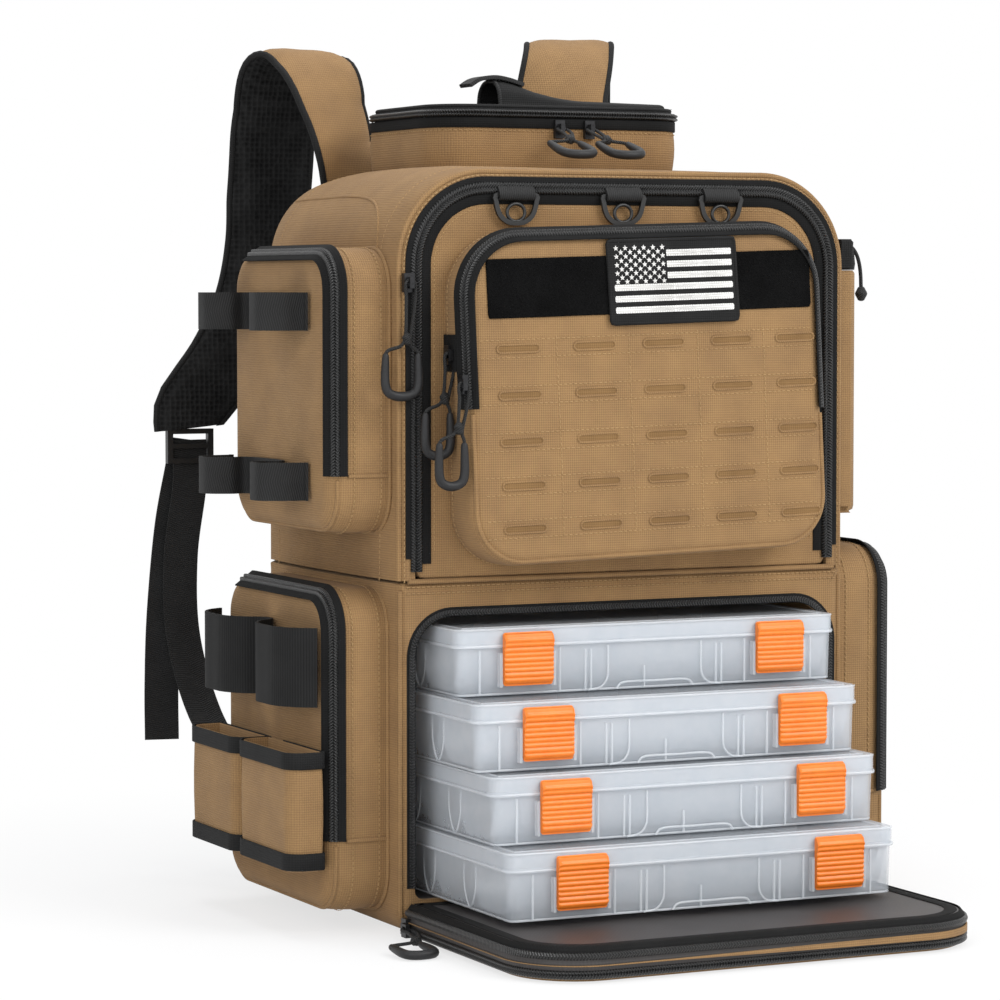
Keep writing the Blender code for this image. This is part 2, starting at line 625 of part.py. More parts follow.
def make_tray(number):
    """One tackle tray: a base with long compartments, a lid with a skirt and two latches."""
    name = "tray_%d_" % number
    shift = TRAY_SHIFT[number - 1]
    front = FRONT - TRAY_OUT[number - 1]
    low = BASE_THICK + TRAY_REST + (number - 1) * TRAY_PITCH
    high = low + TRAY_HEIGHT
    left, right = shift - TRAY_WIDTH / 2, shift + TRAY_WIDTH / 2
    rear = front + TRAY_DEPTH
    inset = SKIRT_WALL + GAP
    pivot = (shift, front, low)

    rim = high - TRAY_WALL - GAP
    base = box(name + "base", (left + inset, front + inset, low), (right - inset, rear - inset, rim), CLEAR, pivot)
    pitch = (TRAY_DEPTH - 2 * inset - TRAY_WALL) / CHANNELS
    corners = []
    for lane in range(CHANNELS):
        start = front + inset + TRAY_WALL + lane * pitch
        corners += [(left + inset + TRAY_WALL, start, low + TRAY_WALL),
                    (right - inset - TRAY_WALL, start + pitch - TRAY_WALL, rim + REACH)]
    ear_wide, ear_out, ear_tall = EAR
    ears = []
    holes = []
    pin_y = front - LATCH_THICK / 2 - GAP
    pin_z = low + PIVOT_Z
    hole = PIVOT_R + PIVOT_CLEAR
    for latch_x in LATCH_X:
        for side in (-1.0, 1.0):
            near = shift + latch_x + side * (LATCH_WIDTH / 2 + GAP)
            far = near + side * ear_wide
            ears += [(min(near, far), front + inset - ear_out, pin_z - ear_tall / 2),
                     (max(near, far), front + inset + TRAY_WALL / 2, pin_z + ear_tall / 2)]
            holes += [(min(near, far) - REACH / 5, pin_y - hole, pin_z - hole),
                      (max(near, far) + REACH, pin_y + hole, pin_z + hole)]
    cut(base, place("cut_" + name + "lanes", cube(*corners), None))
    combine(base, place("add_" + name + "ears", cube(*ears), None), "UNION")
    cut(base, place("cut_" + name + "pins", cube(*holes), None))

    lid = box(name + "lid", (left, front, high - SKIRT_TALL), (right, rear, high), CLEAR, pivot)
    hollow = box("cut_" + name + "lid", (left + SKIRT_WALL, front + SKIRT_WALL, high - SKIRT_TALL - REACH),
                 (right - SKIRT_WALL, rear - SKIRT_WALL, high - TRAY_WALL), None)
    cut(lid, hollow)

    for latch_x, side in zip(LATCH_X, ("left", "right")):
        x = shift + latch_x
        axis = (x, pin_y, pin_z)
        latch = box(name + "latch_" + side, (x - LATCH_WIDTH / 2, front - GAP - LATCH_THICK, low + LATCH_FOOT),
                    (x + LATCH_WIDTH / 2, front - GAP, low + LATCH_FOOT + LATCH_TALL), ORANGE, axis)
        round_edges(latch, 1.0, 1)
        reach = LATCH_WIDTH / 2 + GAP + ear_wide * 0.8
        pin = tube("add_" + name + "pin_" + side, [(x - reach, pin_y, pin_z), (x + reach, pin_y, pin_z)],
                   PIVOT_R, None, sides=8)
        combine(latch, pin, "UNION")


def main():
    """Build every sub-part."""
    clear_scene()
    make_body()
    make_front()
    make_top()
    make_sides()
    make_straps()
    make_zips()
    make_flap()
    for number in range(1, len(TRAY_OUT) + 1):
        make_tray(number)


main()
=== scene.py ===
"""Looks of the tackle backpack: sewn cloth, zips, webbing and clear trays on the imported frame."""
import logging
import math
from dataclasses import dataclass, field
from enum import Enum
from typing import Callable, Sequence

import bmesh
import bpy
import numpy as np
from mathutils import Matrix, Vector


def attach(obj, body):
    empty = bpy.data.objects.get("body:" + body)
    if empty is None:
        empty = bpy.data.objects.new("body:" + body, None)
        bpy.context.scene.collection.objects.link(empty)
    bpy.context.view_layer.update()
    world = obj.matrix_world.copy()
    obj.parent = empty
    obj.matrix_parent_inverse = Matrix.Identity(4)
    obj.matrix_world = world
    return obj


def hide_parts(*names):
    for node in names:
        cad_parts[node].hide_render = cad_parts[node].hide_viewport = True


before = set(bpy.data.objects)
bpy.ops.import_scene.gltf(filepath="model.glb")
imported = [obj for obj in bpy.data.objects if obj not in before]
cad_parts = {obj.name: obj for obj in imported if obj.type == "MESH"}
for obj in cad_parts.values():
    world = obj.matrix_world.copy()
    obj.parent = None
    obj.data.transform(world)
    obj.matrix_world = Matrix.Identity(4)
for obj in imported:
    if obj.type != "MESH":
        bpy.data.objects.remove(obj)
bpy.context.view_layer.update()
LOG = logging.getLogger("tackle_backpack")
MM = 0.001
Array = np.ndarray
Tree = bpy.types.NodeTree
Socket = bpy.types.NodeSocket
# Directions, and where the pack's front face lies, in millimetres.
FRONT = (0.0, -1.0, 0.0)
UP = (0.0, 0.0, 1.0)
PACK_FRONT = -110.0
VECTOR_MATH = "ShaderNodeVectorMath"


class Body(str, Enum):
    """Bodies of the frame that carry pieces."""

    PACK = "pack"
    DOOR = "main_door"
    LID = "top_lid"
    FLAP = "flap"


class Slot(str, Enum):
    """Material slots of the record, passed with each new piece but not applied."""

    TAN = "tan_cloth"
    BLACK = "black_cloth"
    PLASTIC = "black_plastic"
    CORD = "pull_cord"
    CLEAR = "clear_plastic"
    ORANGE = "orange_plastic"


def linear(code: str) -> tuple[float, float, float, float]:
    """Turn an sRGB hex colour into linear values.

    Args:
        code: Six hex digits with a leading hash.

    Returns:
        Linear red, green, blue and a full alpha.
    """
    raw = np.array([int(code[k:k + 2], 16) for k in (1, 3, 5)]) / 255.0
    low = raw / 12.92
    high = ((raw + 0.055) / 1.055) ** 2.4
    return (*np.where(raw <= 0.04045, low, high).tolist(), 1.0)


def add_node(tree: Tree, kind: str, settings: dict | None = None, **inputs: object) -> bpy.types.Node:
    """Add a node, set its properties and fill or link its inputs.

    Args:
        tree: Tree that gets the node.
        kind: Blender's node type name.
        settings: Properties of the node itself.
        inputs: Socket name, with underscores for spaces, to a value or an output socket.

    Returns:
        The new node.
    """
    node = tree.nodes.new(kind)
    for key, value in (settings or {}).items():
        setattr(node, key, value)
    for key, value in inputs.items():
        name = key.replace("_", " ")
        socket = node.inputs[int(key[1:])] if key[0] == "n" and key[1:].isdigit() else node.inputs[name]
        if isinstance(value, Socket):
            tree.links.new(value, socket)
        else:
            socket.default_value = value
    return node


def calc(tree: Tree, operation: str, *values: object, kind: str = "ShaderNodeMath",
         out: int | str = 0) -> Socket:
    """Add a math node.

    Args:
        tree: Tree that gets the node.
        operation: Blender's name of the operation.
        values: Its inputs in order, each a value or an output socket.
        kind: Node type, for plain or vector math.
        out: Which output is returned.

    Returns:
        The output socket.
    """
    inputs = {"n%d" % k: value for k, value in enumerate(values)}
    return add_node(tree, kind, {"operation": operation}, **inputs).outputs[out]


# Size of the slow blotches, per metre, and the pattern's share of the colour against them, which paints shade
# into the pattern's hollows.
BLOTCH_SCALE, PATTERN_SHARE = 40.0, 0.45


@dataclass(frozen=True)
class Finish:
    """A surface finish: its name, colours and how its pattern is drawn.

    The pattern function gets the tree and the coordinate socket and returns a height socket.
    """

    name: str
    colour: str
    shade: str
    rough: float
    pattern: Callable[[Tree, Socket], Socket] | None = None
    relief: float = 0.5
    depth: float = 0.0006
    by_uv: bool = True
    sheen: float = 0.0
    alpha: float = 1.0
    metal: float = 0.0
    gloss: float = 0.5

    def material(self) -> bpy.types.Material:
        """Return the material, made on first use.

        Colour runs from shade to colour with the pattern's height, which paints shade into the pattern's
        hollows, and with a slow blotch of uneven tone, as dye and handling leave on the real thing; the same
        height drives the bump.
        """
        found = bpy.data.materials.get(self.name)
        if found:
            return found
        mat = bpy.data.materials.new(self.name)
        mat.use_nodes = True
        tree = mat.node_tree
        skin = tree.nodes["Principled BSDF"]
        place = add_node(tree, "ShaderNodeTexCoord")
        spot = place.outputs["UV" if self.by_uv else "Object"]
        tone = add_node(tree, "ShaderNodeTexNoise", Vector=place.outputs["Object"], Scale=BLOTCH_SCALE,
                        Detail=4.0, Roughness=0.6).outputs["Fac"]
        if self.pattern:
            height = self.pattern(tree, spot)
            bump = add_node(tree, "ShaderNodeBump", Strength=self.relief, Distance=self.depth, Height=height)
            tree.links.new(bump.outputs["Normal"], skin.inputs["Normal"])
            # The pattern's low parts take the shade colour: painted shade in its hollows.
            rest = calc(tree, "MULTIPLY", tone, 1.0 - PATTERN_SHARE)
            tone = calc(tree, "MULTIPLY_ADD", height, PATTERN_SHARE, rest)
        ramp = add_node(tree, "ShaderNodeValToRGB", Fac=tone)
        for stop, position, code in zip(ramp.color_ramp.elements, (0.25, 0.75), (self.shade, self.colour)):
            stop.position = position
            stop.color = linear(code)
        tree.links.new(ramp.outputs["Color"], skin.inputs["Base Color"])
        for name, value in (("Roughness", self.rough), ("Metallic", self.metal), ("Alpha", self.alpha),
                            ("Sheen Weight", self.sheen), ("Specular IOR Level", self.gloss)):
            skin.inputs[name].default_value = value
        return mat


def weave(pitch_mm: float) -> Callable:
    """Return a plain-weave height pattern: rows of threads along the two axes that lie in the cloth.

    Args:
        pitch_mm: Thread spacing. Real threads are near 0.6 mm, drawn coarser so that they show.

    Returns:
        A function that adds the pattern's nodes and returns the height socket.
    """
    turns = 2.0 * math.pi / (pitch_mm * MM)

    def nodes(tree: Tree, spot: Socket) -> Socket:
        """Add a sine along each axis, faded out along the surface's normal, and return their sum."""
        normal = add_node(tree, "ShaderNodeTexCoord").outputs["Normal"]
        square = calc(tree, "MULTIPLY", normal, normal, kind=VECTOR_MATH)
        share = calc(tree, "SUBTRACT", (1.0, 1.0, 1.0), square, kind=VECTOR_MATH)
        angle = add_node(tree, VECTOR_MATH, {"operation": "SCALE"}, n0=spot, Scale=turns).outputs[0]
        wave = calc(tree, "SINE", angle, kind=VECTOR_MATH)
        both = calc(tree, "DOT_PRODUCT", wave, share, kind=VECTOR_MATH, out="Value")
        return calc(tree, "MULTIPLY_ADD", both, 0.25, 0.5)

    return nodes


def ribs(pitch_mm: float, along: str = "X", slant: float = 0.0) -> Callable:
    """Return rows of ridges across a strip, as on webbing, zip coils and moulded grips.

    Args:
        pitch_mm: Distance from ridge to ridge.
        along: UV axis that the rows repeat along.
        slant: How far each ridge leans from the strip's middle, which draws a herringbone.

    Returns:
        A function that adds the pattern's nodes and returns the height socket.
    """
    turns = 2.0 * math.pi / (pitch_mm * MM)

    def nodes(tree: Tree, spot: Socket) -> Socket:
        """Add a sine of the strip's length, leaned by the distance from its middle."""
        parts = add_node(tree, "ShaderNodeSeparateXYZ", Vector=spot)
        lean = calc(tree, "ABSOLUTE", parts.outputs["Y" if along == "X" else "X"])
        phase = calc(tree, "MULTIPLY_ADD", lean, slant, parts.outputs[along])
        wave = calc(tree, "SINE", calc(tree, "MULTIPLY", phase, turns))
        return calc(tree, "MULTIPLY_ADD", wave, 0.5, 0.5)

    return nodes


def grit(size_mm: float, detail: float = 2.0) -> Callable:
    """Return an even noise pattern, as on moulded plastic or a cut pile.

    Args:
        size_mm: Size of one grain.
        detail: Octaves of noise.

    Returns:
        A function that adds the pattern's nodes and returns the height socket.
    """
    def nodes(tree: Tree, spot: Socket) -> Socket:
        """Add the noise and return it."""
        return add_node(tree, "ShaderNodeTexNoise", Vector=spot, Scale=1.0 / (size_mm * MM),
                        Detail=detail).outputs["Fac"]

    return nodes


def cells(size_mm: float) -> Callable:
    """Return rounded cells, as on open spacer mesh.

    Args:
        size_mm: Size of one cell.

    Returns:
        A function that adds the pattern's nodes and returns the height socket.
    """
    def nodes(tree: Tree, spot: Socket) -> Socket:
        """Add the cells and return their height."""
        return add_node(tree, "ShaderNodeTexVoronoi", {"feature": "F1"}, Vector=spot,
                        Scale=1.0 / (size_mm * MM), Randomness=0.25).outputs["Distance"]

    return nodes


# Coated woven polyester: matt, fine crossing threads, slightly uneven dye.
CLOTH = Finish("coated_woven_polyester", "#9f7d52", "#7f6242", 0.84, weave(1.5), 0.5, 0.0005, by_uv=False,
               sheen=0.04, gloss=0.35)
# Tan cloth darkened as painted shade, for the floors of the cut slots.
SHADE = Finish("cloth_backing", "#8f7049", "#745838", 0.88, weave(1.5), 0.3, 0.0005, by_uv=False, gloss=0.2)
# The same cloth in black, for bindings and the lid.
DARK = Finish("black_woven_polyester", "#232323", "#131313", 0.78, weave(1.5), 0.45, 0.0005, by_uv=False,
              gloss=0.2)
# Urethane-coated lining: smoother, with a low gloss.
LINING = Finish("coated_lining", "#403c3b", "#2d2a29", 0.52, weave(2.2), 0.3, 0.0004, by_uv=False)
# Woven nylon webbing with fine ridges across it.
WEBBING = Finish("nylon_webbing", "#2b2b2b", "#161616", 0.66, ribs(1.5, "X", 0.25), 0.5, 0.0004, gloss=0.25)
# Knitted elastic, ribs along its length.
ELASTIC = Finish("knitted_elastic", "#242424", "#161616", 0.78, ribs(1.8, "X"), 0.4, 0.0004, gloss=0.2)
# Nylon coil zip: two rows of bent teeth that meet at the middle.
COIL = Finish("nylon_coil_zip", "#343434", "#060606", 0.36, ribs(1.9, "X", 0.6), 1.0, 0.001)
# Zip tape, plain woven and dull.
TAPE = Finish("zip_tape", "#1d1d1d", "#111111", 0.82, weave(1.4), 0.4, 0.0003, by_uv=False, gloss=0.15)
# Loop half of a hook-and-loop field: a dull pile.
PILE = Finish("loop_pile", "#1a1a1a", "#070707", 0.97, grit(1.1, 5.0), 1.0, 0.0022, by_uv=False, gloss=0.05)
# Open spacer mesh on the pads.
MESH = Finish("spacer_mesh", "#303030", "#0a0a0a", 0.85, cells(3.6), 1.0, 0.0016, by_uv=False, gloss=0.1)
# Bonded sewing thread, a shade lighter than the cloth.
THREAD = Finish("sewing_thread", "#ae8c5e", "#987850", 0.7, None, by_uv=False)
# Polypropylene: milky, soft gloss, light passes through.
POLY = Finish("clear_polypropylene", "#f1f5fa", "#e4ebf2", 0.2, grit(9.0), 0.1, 0.0005, by_uv=False,
              alpha=0.33)
# The same plastic where it is thick: rims, ribs and corners.
THICK = Finish("thick_polypropylene", "#f6f9fc", "#ebf0f5", 0.24, grit(6.0), 0.1, 0.0004, by_uv=False,
               alpha=0.34)
# Orange polypropylene latches, moulded.
AMBER = Finish("orange_polypropylene", "#f58624", "#ea7416", 0.36, grit(3.0), 0.1, 0.0003, by_uv=False)
# Acetal: black, hard, faintly grained.
ACETAL = Finish("black_acetal", "#242424", "#161616", 0.4, grit(0.8), 0.25, 0.0002, by_uv=False)
# Painted zinc sliders, worn at the edges.
ZINC = Finish("painted_zinc", "#38383a", "#161617", 0.32, grit(1.5), 0.2, 0.0002, by_uv=False, metal=0.5)
# Braided cord of the pulls.
BRAID = Finish("braided_cord", "#262626", "#0c0c0c", 0.7, ribs(1.6, "X", 1.0), 0.9, 0.0006)
# Moulded rubber grips.
RUBBER = Finish("moulded_rubber", "#2b2b2c", "#1b1b1c", 0.48, grit(1.2), 0.3, 0.0003, by_uv=False, gloss=0.3)
# Satin stitch in white thread.
SATIN = Finish("white_satin_stitch", "#f4f3f0", "#c9c7c2", 0.6, ribs(1.2, "Y"), 0.6, 0.0004)


def unit(rows: Array) -> Array:
    """Scale each row to length one."""
    return rows / np.maximum(np.linalg.norm(rows, axis=-1, keepdims=True), 1e-9)


def curve(points: Sequence[Sequence[float]], count: int, closed: bool = False) -> Array:
    """Carry a smooth Catmull-Rom curve through points and space it evenly.

    Args:
        points: Points that the curve passes through.
        count: Number of points returned.
        closed: Whether the last point joins the first.

    Returns:
        count evenly spaced points; a closed curve leaves out the repeated end.
    """
    base = np.array(points, dtype=float)
    if closed:
        base = np.vstack([base[-1:], base, base[:2]])
    else:
        base = np.vstack([2 * base[:1] - base[1:2], base, 2 * base[-1:] - base[-2:-1]])
    t = np.linspace(0.0, 1.0, 24, endpoint=False)[None, :, None]
    a, b, c, d = (base[k:len(base) - 3 + k][:, None, :] for k in range(4))
    bend, swing = 2 * a - 5 * b + 4 * c - d, 3 * b - a - 3 * c + d
    fine = 0.5 * (2 * b + (c - a) * t + bend * t ** 2 + swing * t ** 3)
    fine = np.vstack([fine.reshape(-1, base.shape[1]), base[-2:-1]])
    return spaced(fine, count, closed)


def spaced(line: Array, count: int, closed: bool = False) -> Array:
    """Space a polyline evenly by its length.

    Args:
        line: Points in order; a closed line repeats its first point at the end.
        count: Number of points returned.
        closed: Whether the end point is left out.

    Returns:
        The evenly spaced points.
    """
    run = np.concatenate([[0.0], np.cumsum(np.linalg.norm(np.diff(line, axis=0), axis=1))])
    at = np.linspace(0.0, run[-1], count, endpoint=not closed)
    return np.stack([np.interp(at, run, line[:, k]) for k in range(line.shape[1])], axis=1)


def length_of(line: Array) -> float:
    """Return the length of a polyline."""
    return float(np.linalg.norm(np.diff(line, axis=0), axis=1).sum())


def round_rect(left: float, right: float, low: float, high: float, radii: Sequence[float],
               count: int) -> Array:
    """Draw a rectangle with rounded corners as an evenly spaced closed line.

    Args:
        left: Lowest first coordinate.
        right: Highest first coordinate.
        low: Lowest second coordinate.
        high: Highest second coordinate.
        radii: Corner radii from low right, counter-clockwise. A low one above half the width makes the
            line double back at its start.
        count: Number of points.

    Returns:
        Points of shape (count, 2), counter-clockwise from the low edge's middle.
    """
    turn = np.linspace(0.0, math.pi / 2, 13)
    corners = ((right, low, -1, 1, -math.pi / 2), (right, high, -1, -1, 0.0),
               (left, high, 1, -1, math.pi / 2), (left, low, 1, 1, math.pi))
    rows = [np.array([[(left + right) / 2, low]])]
    for (x, y, sx, sy, start), r in zip(corners, radii):
        centre = np.array([x + sx * r, y + sy * r])
        rows.append(centre + r * np.stack([np.cos(start + turn), np.sin(start + turn)], axis=1))
    rows.append(rows[0])
    return spaced(np.vstack(rows), count, True)


def outward(loop: Array) -> Array:
    """Return the outward normals of a counter-clockwise closed line in a plane."""
    run = unit(np.roll(loop, -1, axis=0) - np.roll(loop, 1, axis=0))
    return np.stack([run[:, 1], -run[:, 0]], axis=1)


def ripple(a: Array, b: Array, seed: float = 0.0) -> Array:
    """Return gentle cloth unevenness between about -1 and 1, a sum of slanted sines.

    Args:
        a: First coordinates in millimetres.
        b: Second coordinates in millimetres.
        seed: Shifts the pattern so that pieces differ.

    Returns:
        The height at each point.
    """
    waves = ((0.021, 0.034), (-0.043, 0.027), (0.067, -0.052), (0.031, 0.088), (-0.094, -0.061))
    total = np.zeros(np.broadcast(a, b).shape)
    for k, (p, q) in enumerate(waves):
        total = total + np.sin(p * a + q * b + 1.7 * k + seed) / (1.0 + 0.55 * k)
    return total / 2.6


@dataclass(frozen=True)
class Plane:
    """A working plane: an origin and its right, up and out directions, in millimetres."""

    origin: tuple[float, float, float]
    right: tuple[float, float, float]
    up: tuple[float, float, float]
    out: tuple[float, float, float]

    def at(self, a: Array, b: Array, depth: Array) -> Array:
        """Return the points at plane coordinates a and b and a height along out."""
        ways = np.array([self.right, self.up, self.out], float)
        return np.array(self.origin) + points_at(a, b, depth) @ ways


# Stitch spacing, and stitch length, width and height, in millimetres.
STITCH_PITCH, STITCH_SIZE = 3.4, (2.3, 0.8, 0.4)
# Edges that turn by more than this stay sharp.
SHARP_DEGREES = 50.0


class Stock:
    """Collects surfaces in millimetres and turns them into one piece."""

    def __init__(self) -> None:
        """Start empty."""
        self.points: list[Array] = []
        self.faces: list[list[int]] = []
        self.uvs: list[Array] = []
        self.count = 0

    def grid(self, grid: Array, close_u: bool = False, close_v: bool = False, cap: bool = False,
             across: Array | None = None) -> "Stock":
        """Add a grid of points as quads, with UVs in metres along its two ways.

        Args:
            grid: Points of shape (m, n, 3).
            close_u: Whether the last row joins the first.
            close_v: Whether the last column joins the first.
            cap: Whether the first and last rows are closed with a face.
            across: UV across the columns in millimetres, instead of the length along them.

        Returns:
            This stock.
        """
        m, n = grid.shape[:2]
        index = self.count + np.arange(m * n).reshape(m, n)
        iu = np.arange(m if close_u else m - 1)
        jv = np.arange(n if close_v else n - 1)
        turns = ((iu, jv), (iu + 1, jv), (iu + 1, jv + 1), (iu, jv + 1))
        quads = np.stack([index[np.ix_(i % m, j % n)] for i, j in turns], axis=-1).reshape(-1, 4)
        step_u = np.linalg.norm(np.roll(grid, -1, axis=0) - grid, axis=2).mean(axis=1)
        step_v = np.linalg.norm(np.roll(grid, -1, axis=1) - grid, axis=2).mean(axis=0)
        u = np.concatenate([[0.0], np.cumsum(step_u)]) * MM
        v = np.concatenate([[0.0], np.cumsum(step_v)]) * MM
        if across is not None:
            v = np.append(across, across[0]) * MM
        uv = np.stack([points_at(u[i][:, None], v[j][None, :]) for i, j in turns], axis=2).reshape(-1, 2)
        self.faces += quads.tolist()
        self.uvs.append(uv)
        if cap:
            for row in (0, m - 1):
                ring = grid[row]
                axes = np.argsort(np.ptp(ring, axis=0))[1:]
                self.faces.append(index[row].tolist())
                self.uvs.append(ring[:, axes] * MM)
        self.points.append(grid.reshape(-1, 3))
        self.count += m * n
        return self

    def solid(self, grid: Array) -> "Stock":
        """Add rings that are closed round and capped at both ends."""
        return self.grid(grid, close_v=True, cap=True)

    def strip(self, path: Array, normal: Array, profile: Sequence[Sequence[float]], closed: bool = False,
              scale: Array | float = 1.0) -> "Stock":
        """Carry a closed profile along a path.

        Args:
            path: Points of the path.
            normal: One normal, or one for each point, that the profile's second axis points along.
            profile: Points of the section: across the path, and along the normal.
            closed: Whether the path joins its start.
            scale: Factor on the profile's width, for each path point or all.

        Returns:
            This stock.
        """
        if closed:
            run = unit(np.roll(path, -1, axis=0) - np.roll(path, 1, axis=0))
        else:
            run = unit(np.gradient(path, axis=0))
        normal = np.broadcast_to(np.asarray(normal, float), path.shape)
        normal = unit(normal - run * (normal * run).sum(axis=1, keepdims=True))
        side = np.cross(run, normal)
        section = np.array(profile, float)
        wide = np.broadcast_to(np.asarray(scale, float), (len(path),))[:, None] * section[None, :, 0]
        grid = path[:, None] + wide[..., None] * side[:, None] + section[None, :, 1, None] * normal[:, None]
        return self.grid(grid, closed, True, not closed, section[:, 0] * float(np.mean(scale)))

    def tube(self, path: Array, radius: Array | float, normal: Sequence[float], closed: bool = False,
             sides: int = 10) -> "Stock":
        """Carry a circle along a path; normal is any direction not along it."""
        turn = np.linspace(0.0, 2 * math.pi, sides, endpoint=False)
        circle = np.stack([np.cos(turn), np.sin(turn)], axis=1)
        run = np.roll(path, -1, axis=0) - np.roll(path, 1, axis=0) if closed else np.gradient(path, axis=0)
        run = unit(run)
        across = unit(np.cross(run, np.broadcast_to(np.asarray(normal, float), path.shape)))
        rise = np.cross(across, run)
        size = np.broadcast_to(np.asarray(radius, float), (len(path),))[:, None, None]
        offset = circle[None, :, :1] * across[:, None] + circle[None, :, 1:] * rise[:, None]
        grid = path[:, None] + size * offset
        return self.grid(grid, closed, True, not closed)

    def stitches(self, path: Array, normal: Array | Sequence[float], closed: bool = False) -> "Stock":
        """Lay a row of thread stitches along a path, each a small tapered bar."""
        count = max(2, int(length_of(path) / STITCH_PITCH))
        source = np.broadcast_to(np.asarray(normal, float), path.shape)
        both = spaced(np.hstack([path, source]), count, closed)
        spot, up = both[:, :3], unit(both[:, 3:])
        run = unit(np.gradient(spot, axis=0))
        side = unit(np.cross(run, up))
        foot = np.array([(-1, -1), (-1, 1), (1, 1), (1, -1)])
        shape = np.vstack([placed(foot, 2, 0.0), placed(foot * (0.7, 0.5), 2, 1.0)]) * STITCH_SIZE / (2, 2, 1)
        points = (spot[:, None] + shape[None, :, :1] * run[:, None] + shape[None, :, 1:2] * side[:, None]
                  + shape[None, :, 2:] * up[:, None])
        faces = np.array([(0, 1, 2, 3), (4, 7, 6, 5), (0, 4, 5, 1), (1, 5, 6, 2), (2, 6, 7, 3), (3, 7, 4, 0)])
        self.faces += (self.count + faces[None] + 8 * np.arange(count)[:, None, None]).reshape(-1, 4).tolist()
        self.uvs.append(np.zeros((count * 24, 2)))
        self.points.append(points.reshape(-1, 3))
        self.count += 8 * count
        return self

    def build(self, name: str, finish: Finish, body: str, slot: Slot, *nodes: str) -> bpy.types.Object:
        """Make the piece, dress it and set it on its body.

        Args:
            name: Name of the piece.
            finish: Its finish.
            body: Frame body that carries it.
            slot: Record slot; not used.
            nodes: CAD nodes that it stands for.

        Returns:
            The new object.
        """
        mesh = bpy.data.meshes.new(name)
        mesh.from_pydata((np.vstack(self.points) * MM).tolist(), [], self.faces)
        layer = mesh.uv_layers.new(name="UVMap")
        layer.data.foreach_set("uv", np.vstack(self.uvs).astype(np.float32).ravel())
        bm = bmesh.new()
        bm.from_mesh(mesh)
        bmesh.ops.recalc_face_normals(bm, faces=bm.faces)
        bm.to_mesh(mesh)
        bm.free()
        mesh.polygons.foreach_set("use_smooth", np.ones(len(mesh.polygons), dtype=bool))
        mesh.set_sharp_from_angle(angle=math.radians(SHARP_DEGREES))
        item = bpy.data.objects.new(name, mesh)
        bpy.context.scene.collection.objects.link(item)
        mesh.materials.append(finish.material())
        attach(item, str(body.value if isinstance(body, Enum) else body))
        if nodes:
            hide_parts(*nodes)
        LOG.info("%s on %s", name, body)
        return item


